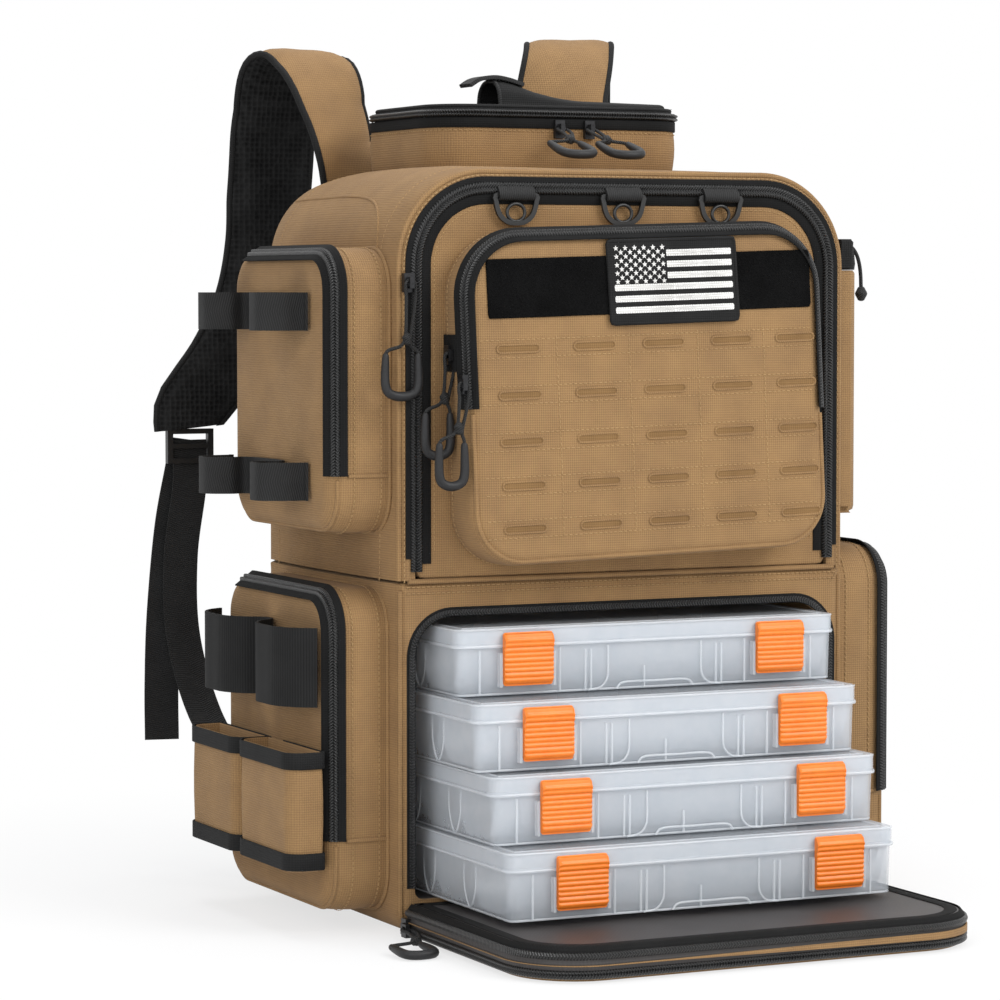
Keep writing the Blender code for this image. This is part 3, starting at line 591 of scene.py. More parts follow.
@dataclass
class Pad:
    """A sewn pocket or panel: an outline raised to a depth, with a rounded edge and a crowned face."""

    view: Plane
    outline: Array
    depth: float
    edge: float
    crown: float = 0.0
    belly: float = 0.0
    wrinkle: float = 0.8
    seed: float = 0.0
    lean: float = 0.0
    inner: Array = field(init=False)
    centre: Array = field(init=False)

    def __post_init__(self) -> None:
        """Work out the face's ring and its centre."""
        self.inner = self.outline - self.edge * outward(self.outline)
        self.centre = (self.outline.min(axis=0) + self.outline.max(axis=0)) / 2

    def deep(self, b: Array) -> Array:
        """Return the local depth: lean is added at the low edge and taken off at the high edge."""
        half = np.ptp(self.outline[:, 1]) / 2
        return self.depth + self.lean * (self.centre[1] - np.asarray(b, float)) / half

    def rise(self, a: Array, b: Array) -> Array:
        """Return the face's height: depth, plus a crown that fades to the ring, plus ripples.

        Args:
            a: First plane coordinates.
            b: Second plane coordinates.

        Returns:
            Heights along the plane's out direction.
        """
        da, db = np.asarray(a, float) - self.centre[0], np.asarray(b, float) - self.centre[1]
        ring = self.inner - self.centre
        angle = np.arctan2(ring[:, 1], ring[:, 0])
        order = np.argsort(angle)
        reach = np.interp(np.arctan2(db, da), angle[order], np.hypot(*ring.T)[order], period=2 * math.pi)
        s = np.clip(np.hypot(da, db) / reach, 0.0, 1.0)
        return self.deep(b) + (1 - s ** 3) * (self.crown + self.wrinkle * ripple(a, b, self.seed))

    def on(self, line: Array, lift: float = 0.0) -> Array:
        """Return a line of plane coordinates laid on the face."""
        return self.view.at(line[:, 0], line[:, 1], self.rise(line[:, 0], line[:, 1]) + lift)

    def rim(self, angle: float, lift: float = 0.0) -> tuple[Array, Array]:
        """Return the ring at an angle round the edge, from 0 at the wall to 90 at the face.

        Args:
            angle: Degrees round the rounded edge.
            lift: Distance that the ring stands off the surface.

        Returns:
            The ring's points and their normals.
        """
        turn = math.radians(angle)
        way = outward(self.outline)
        r = self.edge + lift
        flat = self.outline - self.edge * way + r * math.cos(turn) * way
        height = self.deep(self.outline[:, 1]) - self.edge + r * math.sin(turn)
        points = self.view.at(flat[:, 0], flat[:, 1], height)
        normal = self.view.at(way[:, 0] * math.cos(turn), way[:, 1] * math.cos(turn), math.sin(turn))
        return points, normal - np.array(self.view.origin)

    def wall(self, height: float, lift: float = 0.0) -> tuple[Array, Array]:
        """Return the ring round the side wall at a height, and its normals."""
        way = outward(self.outline)
        bulge = self.belly * math.sin(math.pi * min(1.0, height / (self.depth - self.edge)))
        flat = self.outline + (lift + bulge) * way
        points = self.view.at(flat[:, 0], flat[:, 1], height)
        return points, self.view.at(way[:, 0], way[:, 1], 0.0) - np.array(self.view.origin)

    def grid(self) -> Array:
        """Return the whole pad: side wall, rounded edge and face rings to the centre."""
        way = outward(self.outline)
        rings = []
        for t in np.linspace(0.0, 1.0, 6)[:-1]:
            height = t * (self.deep(self.outline[:, 1]) - self.edge)
            bulge = self.belly * math.sin(math.pi * t)
            flat = self.outline + bulge * way
            rings.append(self.view.at(flat[:, 0], flat[:, 1], height))
        for angle in np.linspace(0.0, 90.0, 6)[:-1]:
            rings.append(self.rim(angle)[0])
        for s in (1.0, 0.985, 0.95, 0.88, 0.78, 0.66, 0.54, 0.42, 0.3, 0.18, 0.07, 0.004):
            flat = self.centre + (self.inner - self.centre) * s
            rings.append(self.view.at(flat[:, 0], flat[:, 1], self.rise(flat[:, 0], flat[:, 1])))
        return np.stack(rings)

    def build(self, name: str, finish: Finish, body: str, slot: Slot, *nodes: str) -> bpy.types.Object:
        """Build the pad as one closed piece; the arguments are those of Stock.build."""
        return Stock().solid(self.grid()).build(name, finish, body, slot, *nodes)


def tape(half: float, thick: float) -> list[tuple[float, float]]:
    """Return the section of a flat tape with soft edges."""
    face, edge = half - 0.4, thick * 0.6
    return [(-half, 0.0), (half, 0.0), (half, edge), (face, thick), (-face, thick), (-half, edge)]


def bar_section(half: float, rise: float) -> list[tuple[float, float]]:
    """Return the section of a square-edged bar about its middle."""
    return [(-half, -rise), (half, -rise), (half, rise), (-half, rise)]


def coil(half: float, tall: float) -> list[tuple[float, float]]:
    """Return the section of a closed coil zip: two low humps with a groove between them."""
    across = np.linspace(-1.0, 1.0, 13)
    hump = tall * (1 - np.abs(2 * np.abs(across) - 1) ** 2.2) * 0.85 + 0.1
    hump[6] = tall * 0.35
    return [(half * x, h) for x, h in zip(across, hump)] + [(half, -0.2), (-half, -0.2)]


@dataclass
class Trim:
    """Zips, stitches and bindings gathered for one body."""

    body: str
    name: str
    coils: Stock = field(default_factory=Stock)
    tapes: Stock = field(default_factory=Stock)
    threads: Stock = field(default_factory=Stock)
    piping: Stock = field(default_factory=Stock)

    def zip(self, path: Array, normal: Array, wide: float, teeth: float) -> None:
        """Lay a zip: a tape with a raised coil along its middle."""
        self.tapes.strip(path, normal, tape(wide / 2, 0.9))
        rise = unit(np.broadcast_to(np.asarray(normal, float), path.shape))
        self.coils.strip(path + 0.7 * rise, normal, coil(teeth / 2, 2.0))

    def seam(self, path: Array, normal: Array, radius: float, closed: bool = False) -> None:
        """Lay a piped seam along a path."""
        self.piping.tube(path, radius, normal, closed, 8)

    def finish(self) -> None:
        """Build what was gathered."""
        kinds = (("coil", self.coils, COIL, Slot.BLACK), ("tape", self.tapes, TAPE, Slot.BLACK),
                 ("thread", self.threads, THREAD, Slot.TAN), ("piping", self.piping, CLOTH, Slot.TAN))
        for part, stock, look, slot in kinds:
            if stock.count:
                stock.build("%s_%s" % (self.name, part), look, self.body, slot)


def lying(z: float) -> Plane:
    """Return a plane that faces up at a height."""
    return Plane((0, 0, z), (1, 0, 0), (0, 1, 0), UP)


def facing(y: float) -> Plane:
    """Return a plane that faces the front at a depth."""
    return Plane((0, y, 0), (1, 0, 0), UP, FRONT)


def backing(y: float) -> Plane:
    """Return a plane that faces the back at a depth."""
    return Plane((0, y, 0), (-1, 0, 0), UP, (0, 1, 0))


def sideways(x: float) -> Plane:
    """Return a plane that faces left or right, by the sign of x."""
    return Plane((x, 0, 0), (0, 1 if x > 0 else -1, 0), (0, 0, 1), (math.copysign(1, x), 0, 0))


def points_at(*ways: Array | float) -> Array:
    """Return points from their coordinates, any of which may be one number for all."""
    return np.stack(np.broadcast_arrays(*ways), axis=-1).astype(float)


def placed(line: Array, axis: int, place: float) -> Array:
    """Set a line of two coordinates in space, at one place along the third axis."""
    return np.insert(line, axis, place, axis=1)


def girdle(line: Array, z: float, lift: float) -> tuple[Array, Array]:
    """Return the ring that stands off an upright outline at a height, and its normals."""
    way = outward(line)
    return placed(line + lift * way, 2, z), placed(way, 2, 0.0)


def rings(loops: Sequence[tuple[Array, float]], axis: int) -> Array:
    """Stack flat lines, each with its place along an axis, into a grid of shape (lines, points, 3)."""
    return np.stack([placed(line, axis, place) for line, place in loops])


def shrunk(loop: Array, inset: float) -> Array:
    """Offset a closed line inwards."""
    return loop - inset * outward(loop)


def fill(loop: Array, place: float, parts: Sequence[float]) -> list[tuple[Array, float]]:
    """Return copies of a line scaled towards its centre, to close it."""
    centre = (loop.min(axis=0) + loop.max(axis=0)) / 2
    return [(centre + (loop - centre) * s, place) for s in parts]


def span(ring: tuple[Array, Array], test: Callable[[Array], Array]) -> tuple[Array, Array]:
    """Return the stretch of a ring that passes a test, in order and unbroken.

    Args:
        ring: Points and normals of a closed ring.
        test: Function of the points that returns a true value for those kept.

    Returns:
        Points and normals of the stretch.
    """
    points, normals = ring
    keep = test(points)
    start = int(np.flatnonzero(keep & ~np.roll(keep, 1))[0]) if not keep.all() else 0
    order = np.roll(np.arange(len(points)), -start)
    order = order[keep[order]]
    return points[order], normals[order]


def stretch(points: Array, test: Callable[[Array], Array]) -> Array:
    """Return the stretch of a closed line of points that passes a test, in order and unbroken."""
    return span((points, points), test)[0]


def dress(node: str, finish: Finish) -> None:
    """Give a CAD node that stays visible its finish."""
    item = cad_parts[node]
    item.data.materials.clear()
    item.data.materials.append(finish.material())


@dataclass
class PackBody:
    """Upper and lower shells, with the zips round their openings."""

    half: float = 160.0
    split: float = 224.0
    top: float = 482.0
    corner: float = 60.0
    fullness: float = 5.0
    flat_depth: float = 104.0
    mouth: tuple[float, float, float] = (150.0, 23.0, 202.0)
    trim: Trim = field(default_factory=lambda: Trim(Body.PACK, "pack"))

    def arch(self, inset: float = 0.0) -> tuple[Array, Array]:
        """Return the upper shell's line up one side, over the top and down, and its normals."""
        turn = np.linspace(0.0, math.pi / 2, 20)
        r, low = self.corner, self.split + 0.5
        left = np.stack([-self.half + r - r * np.cos(turn), self.top - r + r * np.sin(turn)], axis=1)
        right = left[::-1] * (-1, 1)
        line = spaced(np.vstack([[(-self.half, low)], left, right, [(self.half, low)]]), 170)
        run = unit(np.gradient(line, axis=0))
        way = np.stack([-run[:, 1], run[:, 0]], axis=1)
        return line - inset * way, way

    def swell(self, line: Array, y: float | Array) -> Array:
        """Return how far the cloth stands out from the arch: a bow over the depth and gentle ripples."""
        bow = self.fullness * np.maximum(0.0, 1 - (np.asarray(y, float) / self.flat_depth) ** 2)
        return bow + 1.1 * ripple(line[:, 1] + 0.4 * line[:, 0], np.broadcast_to(y, len(line)), 2.0)

    def yoke(self, side: float) -> None:
        """Lay the seam that runs from the rear over the shoulder's round and turns down the side.

        Its route gives degrees round the shoulder, or millimetres below it where negative, and the depth.
        """
        route = [(46.0, 98.0), (45.0, 30.0), (42.0, -35.0), (30.0, -66.0), (8.0, -80.0), (-14.0, -84.0),
                 (-60.0, -85.0), (-160.0, -86.0)]
        turn = curve(route, 90)
        angle = np.radians(np.clip(turn[:, 0], 0.0, 90.0))
        way = np.stack([side * np.cos(angle), np.sin(angle)], axis=1)
        flat = np.array([side * (self.half - self.corner), self.top - self.corner]) + self.corner * way
        flat[:, 1] += np.minimum(turn[:, 0], 0.0)
        flat = flat + (self.swell(flat, turn[:, 1]) - 0.4)[:, None] * way
        self.trim.seam(points_at(flat[:, 0], turn[:, 1], flat[:, 1]), placed(way, 1, 0.0), 1.2)

    def upper(self) -> None:
        """Carry the wall's section, a rounded strip, along the arch, and close the back."""
        outside = [(y, 0.0) for y in np.linspace(-103.0, 103.0, 15)]
        inside = [(y, 6.0) for y in np.linspace(100.0, -100.0, 5)]
        section = [(-110.0, 11.0), (-110.6, 6.0), (-108.6, 2.0), *outside, (108.5, 2.0), (110.0, 7.0),
                   (106.0, 10.0), *inside, (-105.0, 7.0), (-106.0, 11.0)]
        line, way = self.arch()
        normals = placed(way, 1, 0.0)
        rows = []
        for y, inset in section:
            out = self.swell(line, y) if inset == 0 else np.full(len(line), -inset)
            rows.append(placed(line + out[:, None] * way, 1, y))
        wall = Stock().grid(np.stack(rows), close_u=True)
        wall.build("upper_shell_cloth", CLOTH, Body.PACK, Slot.TAN, "upper_shell")
        outline = round_rect(-157, 157, 224.6, 479, (1.2, 56, 56, 1.2), 200)
        back = Pad(backing(103.5), outline, depth=5.5, edge=1.0, crown=0.4, wrinkle=0.3)
        back.build("upper_back_cloth", CLOTH, Body.PACK, Slot.TAN)
        self.trim.seam(placed(self.arch(1.0)[0], 1, PACK_FRONT + 2.4), normals, 1.9)
        self.trim.threads.stitches(placed(self.arch(3.4)[0], 1, PACK_FRONT - 0.5), FRONT)
        door_tape = placed(self.arch(8.6)[0], 1, PACK_FRONT - 0.7)
        self.trim.tapes.strip(door_tape[door_tape[:, 2] > self.split + 10.0], FRONT, tape(4.4, 0.9))
        for y in (-84.0, 84.0):
            row = line + (self.swell(line, y) - 0.1)[:, None] * way
            self.trim.threads.stitches(placed(row, 1, y), normals)
        for side in (-1.0, 1.0):
            self.yoke(side)

    def lower(self) -> None:
        """Stack rings from the back, round the outside, over the front frame and into the hollow."""
        wide, low, high = self.mouth
        outer = round_rect(-self.half, self.half, 0.4, self.split, (16, 1.5, 1.5, 16), 240)
        hole = round_rect(-wide, wide, low, high, (6, 26, 26, 6), 240)
        room = round_rect(-154, 154, low, 218, (4,) * 4, 240)
        sides = np.where(np.abs(outer[:, 0]) > self.half - 1, np.sign(outer[:, 0]), 0.0)
        rise = np.clip(outer[:, 1] / 60.0, 0.0, 1.0)
        loops = fill(shrunk(outer, 7.0), 110.0, (0.004, 0.3, 0.6, 0.85, 1.0)) + [(shrunk(outer, 2.0), 108.5)]
        for y in np.linspace(103.0, -103.0, 13):
            out = self.fullness * (1 - (y / self.flat_depth) ** 2) * rise ** 2 * (3 - 2 * rise)
            loops.append((outer + np.outer(sides * out, (1.0, 0.0)), y))
        loops += [(shrunk(outer, 1.6), PACK_FRONT + 1.6), (shrunk(outer, 5.0), PACK_FRONT - 0.4)]
        loops += [(outer + (hole - outer) * t, PACK_FRONT - 0.7) for t in (0.6, 0.85, 1.0)]
        loops += [(hole, -105.0), *[(room, y) for y in (-103.0, -60.0, 0.0, 60.0, 101.0)]]
        loops += fill(room, 102.0, (0.9, 0.5, 0.004))
        Stock().solid(rings(loops, 1)).build("lower_shell_cloth", CLOTH, Body.PACK, Slot.TAN, "lower_shell")
        outline = round_rect(-150, 150, -108, 100, (4,) * 4, 160)
        floor = Pad(lying(19.0), outline, depth=4.2, edge=1.5, wrinkle=0.1)
        floor.build("compartment_floor", LINING, Body.PACK, Slot.BLACK)
        self.lower_trim(outer, hole)

    def lower_trim(self, outer: Array, hole: Array) -> None:
        """Lay the mouth's zip, the stitches above it and the seams of the front frame.

        Args:
            outer: The lower shell's outline.
            hole: The mouth's outline.
        """
        trim, low = self.trim, self.mouth[1]
        teeth = [(-2.0, 0), (2.0, 0), (1.8, 0.5), (0, 0.7), (-1.8, 0.5)]
        layers = ((trim.tapes, 2.2, 0.75, tape(3.0, 0.35)), (trim.coils, 1.6, 0.9, teeth))
        for stock, out, lift, section in layers:
            line = placed(shrunk(hole, -out), 1, PACK_FRONT - lift)
            stock.strip(stretch(line, lambda p: p[:, 2] > low + 4.0), FRONT, section)
        across = np.linspace(-154, 154, 60)
        for z in (216.5, 220.5):
            trim.threads.stitches(points_at(across, PACK_FRONT - 1.0, z), FRONT)
        trim.seam(points_at(across, PACK_FRONT - 0.2, self.split), FRONT, 1.7)
        edge = placed(shrunk(outer, 1.2), 1, PACK_FRONT + 1.4)
        trim.seam(stretch(edge, lambda p: p[:, 2] < self.split - 3), (0.0, -1.0, 0.02), 1.7)

    def build(self) -> None:
        """Build both shells and their trim."""
        self.upper()
        self.lower()
        self.trim.finish()


@dataclass
class MainDoor:
    """Front panel, its pocket with slots, loop field and patch, and the ring loops."""

    half: float = 148.0
    low: float = 225.6
    high: float = 470.0
    corner: float = 48.0
    pocket: tuple[float, float, float, float] = (-127.0, 127.0, 237.0, 445.0)
    pocket_depth: float = 33.0
    zip_end: float = 330.0
    columns: tuple[float, ...] = (-92.5, -39.5, 9.5, 58.5, 106.0)
    rows: tuple[float, ...] = (373.0, 344.0, 315.0, 287.5, 260.5)
    slot_size: tuple[float, float] = (29.0, 5.0)
    tilt: float = 1.8
    loop_field: tuple[float, float, float, float] = (-112.0, 119.0, 392.0, 429.0)
    patch: tuple[float, float, float, float] = (-28.0, 63.0, 386.0, 438.0)
    patch_round: float = 1.6
    rings_x: tuple[float, ...] = (-81.0, -5.0, 66.0)
    bar: tuple[float, float] = (-114.3, 466.0)
    trim: Trim = field(default_factory=lambda: Trim(Body.DOOR, "door"))

    def panel(self) -> None:
        """Build the panel and its half of the main zip, whose coil covers the gap."""
        c = self.corner
        outline = round_rect(-self.half, self.half, self.low, self.high, (5, c, c, 5), 220)
        pad = Pad(facing(-104.0), outline, depth=6.2, edge=2.0, crown=2.2)
        pad.build("main_panel_cloth", CLOTH, Body.DOOR, Slot.TAN, "main_panel")

        def inside(inset: float, lift: float) -> Array:
            """Return the outline moved inwards, without its low edge."""
            line = placed(shrunk(outline, inset), 1, PACK_FRONT - lift)
            return stretch(line, lambda p: p[:, 2] > self.low + max(inset, 0.0) + 2.5)

        self.trim.tapes.strip(inside(4.6, 0.4), FRONT, tape(5.0, 0.9))
        self.trim.coils.strip(inside(-0.6, 1.4), FRONT, coil(4.0, 2.2))
        self.trim.threads.stitches(inside(12.0, 0.6), FRONT)

    def front_pocket(self) -> Pad:
        """Build the pocket, hung a little askew and fuller below, with its zip, seams and stitched rows."""
        left, right, low, high = self.pocket
        turn, middle = math.radians(self.tilt), (low + high) / 2
        s, c = math.sin(turn), math.cos(turn)
        view = Plane((middle * s, PACK_FRONT - 0.4, middle * (1 - c)), (c, 0, s), (-s, 0, c), FRONT)
        outline = round_rect(left, right, low, high, (34, 40, 40, 34), 260)
        pad = Pad(view, outline, self.pocket_depth, edge=9.0, crown=2.2, belly=0.8, wrinkle=0.7, lean=3.5)
        pad.build("front_pocket_cloth", CLOTH, Body.DOOR, Slot.TAN, "front_pocket")
        trim = self.trim
        upper = lambda p: p[:, 2] > self.zip_end
        under_slider = lambda p: (p[:, 0] < 0) & (p[:, 2] > 354) & (p[:, 2] < 379)
        trim.zip(*span(pad.rim(34.0, 0.2), upper), 15.0, 6.4)
        trim.seam(*span(pad.rim(48.0, 0.2), lambda p: p[:, 2] < self.zip_end), 1.6)
        for height in (3.0, 13.0):
            trim.tapes.strip(*span(pad.wall(height, 0.2), under_slider), tape(5.2, 0.9))
        trim.threads.stitches(*pad.wall(6.0, 0.3), closed=True)
        trim.threads.stitches(*span(pad.wall(pad.depth - 14.0, 0.5), upper))
        across = np.linspace(left + 10, right - 10, 90)
        for z in self.rows:
            for dz in (-5.5, 5.5):
                trim.threads.stitches(pad.on(points_at(across, z + dz), 0.1), FRONT)
        upright = np.linspace(self.rows[-1] - 5, self.rows[0] + 6, 70)
        for a, b in zip(self.columns[:-1], self.columns[1:]):
            trim.threads.stitches(pad.on(points_at((a + b) / 2, upright), 0.1), FRONT)
        return pad

    def slots(self, pad: Pad) -> None:
        """Build the cut slots: a floor darkened as painted shade, with a thin sealed lip round each."""
        wide, tall = np.array(self.slot_size) / 2
        lips, floors = Stock(), Stock()
        for x in self.columns:
            for z in self.rows:
                loop = round_rect(x - wide, x + wide, z - tall, z + tall, (tall / 1.01,) * 4, 40)
                lips.tube(pad.on(loop, 0.25), 0.75, FRONT, True, 6)
                stack = [pad.on(shrunk(loop, 0.2), 0.1), pad.on(shrunk(loop, 0.6), -0.1)]
                stack += [pad.on(line, 0.18) for line, _ in fill(shrunk(loop, 0.7), 0.0, (1.0, 0.5, 0.02))]
                floors.solid(np.stack(stack))
        lips.build("slot_lips", CLOTH, Body.DOOR, Slot.TAN)
        floors.build("slot_floors", SHADE, Body.DOOR, Slot.TAN)

    def field_and_patch(self, pad: Pad) -> None:
        """Build the loop field and the embroidered patch with stripes and stars."""
        def sheet(edges: Sequence[float], lift: float, thick: float, count: int,
                  r: float = self.patch_round) -> Array:
            """Return a thin raised layer laid on the pocket's face."""
            loop, top = round_rect(*edges, (r,) * 4, count), lift + thick
            inner = [line for line, _ in fill(shrunk(loop, 0.9), 0.0, (1.0, 0.7, 0.35, 0.01))]
            face = [pad.on(line, top) for line in (shrunk(loop, 0.5), *inner)]
            return np.stack([pad.on(loop, lift), pad.on(loop, lift + thick * 0.7), *face])

        Stock().solid(sheet(self.loop_field, -0.2, 1.5, 200)).build("loop_field", PILE, Body.DOOR, Slot.BLACK)
        ground = Stock().solid(sheet(self.patch, 1.2, 1.8, 120))
        ground.build("patch_ground", DARK, Body.DOOR, Slot.BLACK, "patch")
        left, right, low, high = self.patch
        margin = 3.0
        step = (high - low - 2 * margin) / 13
        canton = left + margin + 0.42 * (right - left)
        white = Stock()
        for k in range(1, 13, 2):
            z = low + margin + k * step
            start = canton if k > 5 else left + margin
            stripe = (start, right - margin, z - 0.2, z + step + 0.2)
            white.solid(sheet(stripe, 2.9, 0.5, 140, 0.4))
        turn = np.arange(10) * math.pi / 5 + math.pi / 2
        reach = np.where(np.arange(10) % 2, 0.85, 1.9)
        star = np.stack([reach * np.cos(turn), reach * np.sin(turn)], axis=1)
        layers = ((1.0, 0.0), (0.95, 0.45), (0.02, 0.5))
        for row in range(9):
            for col in range(6 - row % 2):
                x = left + 5.4 + (col + 0.5 * (row % 2)) * (canton - left - 8.2) / 5
                z = high - 4.6 - row * (step * 7 - 3.6) / 8
                points = [pad.on(star * s + (x, z), 3.1 + h) for s, h in layers]
                white.solid(np.stack(points))
        white.build("patch_embroidery", SATIN, Body.DOOR, Slot.BLACK)
        loop = round_rect(*self.patch, (self.patch_round,) * 4, 120)
        border = Stock().tube(pad.on(loop, 2.3), 1.3, FRONT, True, 8)
        border.build("patch_border", DARK, Body.DOOR, Slot.BLACK)

    def hardware(self) -> None:
        """Build the ring tabs and the three rings."""
        y, z = self.bar
        tongue = [(3.7, 6.5), (1.0, 6.0), (-2.2, 2.6), (-3.1, 0), (-2.2, -2.6), (0, -3.3), (2.2, -2.6),
                  (3.3, -1.0), (3.7, 2.0)]
        inner = [(2.2, 1.6), (1.9, -1.0), (0, -2.0), (-1.8, -0.6), (-1.5, 1.4), (0.6, 2.4)]
        outer, bore = (curve(np.array(shape) + self.bar, 40, True) for shape in (tongue, inner))
        tabs = Stock()
        for x in self.rings_x:
            loops = [(bore, x - 12.5), (outer, x - 12.5), (outer, x + 12.5), (bore, x + 12.5)]
            tabs.grid(rings(loops, 0), close_u=True, close_v=True)
        strip = points_at(np.linspace(-106, 91, 60), PACK_FRONT - 0.7, 468.6)
        tabs.strip(strip, FRONT, tape(1.8, 1.6))
        tabs.build("ring_tabs", WEBBING, Body.DOOR, Slot.BLACK, "ring_webbing")
        shape = [(-13.6, 0), (0, 0), (13.6, 0), (14.2, -3.5), (11.6, -12), (6, -16.6), (0, -17.4),
                 (-6, -16.6), (-11.6, -12), (-14.2, -3.5)]
        turn = np.linspace(0, 2 * math.pi, 32, endpoint=False)
        for number, x in enumerate(self.rings_x, 1):
            path = curve([(x + a, y, z + b) for a, b in shape], 72, True)
            ring = Stock().strip(path, FRONT, bar_section(1.5, 1.1), True)
            eye = points_at(x + 6.2 * np.cos(turn), y, z - 10.8 + 5.6 * np.sin(turn))
            ring.tube(eye, 1.2, (0, 1, 0), True, 8)
            ring.build("ring_%d" % number, ACETAL, "d_ring_%d" % number, Slot.PLASTIC, "d_ring_%d" % number)

    def build(self) -> None:
        """Build the door and everything on it."""
        self.panel()
        pad = self.front_pocket()
        self.slots(pad)
        self.field_and_patch(pad)
        self.hardware()
        self.trim.finish()


@dataclass
class LowerFlap:
    """The fold-down flap: lined inside, tan outside, zipped round its edge."""

    half: float = 156.0
    hinge: float = -110.9
    reach: float = -300.3
    corner: float = 45.0
    trim: Trim = field(default_factory=lambda: Trim(Body.FLAP, "flap"))

    def build(self) -> None:
        """Build the pad, the outer face and the zips and bands round the edge."""
        radii = (self.corner, 4, 4, self.corner)
        line = round_rect(-self.half, self.half, self.reach, self.hinge, radii, 260)
        pad = Pad(lying(3.0), line, depth=18.2, edge=4.5, crown=-1.4, belly=1.2, wrinkle=0.9, seed=4.0)
        made = pad.build("flap_lining", LINING, Body.FLAP, Slot.BLACK, "lower_flap")
        below = Plane((0, 0, 3.4), (1, 0, 0), (0, -1, 0), (0, 0, -1))
        mirrored = shrunk((line * (1, -1))[::-1], 1.0)
        under = Pad(below, mirrored, depth=2.7, edge=2.4, wrinkle=0.2)
        under.build("flap_outer_cloth", CLOTH, Body.FLAP, Slot.TAN)
        keep = lambda p: p[:, 1] < self.hinge - 3.0
        path, normal = span(pad.wall(7.6, 0.5), keep)
        widths = np.interp(path[:, 0], (-150.0, -70.0, 50.0, 150.0), (0.1, 0.2, 0.75, 1.0))
        tan = Stock().strip(path, normal, tape(2.4, 1.0), scale=widths)
        tan.build("flap_tan_band", CLOTH, Body.FLAP, Slot.TAN)
        teeth = [(-2.2, 0), (2.2, 0), (1.8, 1.2), (0, 1.9), (-1.8, 1.2)]
        self.trim.coils.strip(*span(pad.wall(13.2, 0.9), keep), teeth)
        self.trim.coils.strip(*span(pad.wall(2.2, 0.6), keep), coil(2.6, 1.6))
        self.trim.tapes.strip(*span(pad.rim(40.0, 0.2), keep), tape(2.2, 0.8))
        self.trim.tapes.strip(pad.on(shrunk(line, 7.9), 0.05), UP, tape(4.0, 0.4), True)
        self.trim.finish()


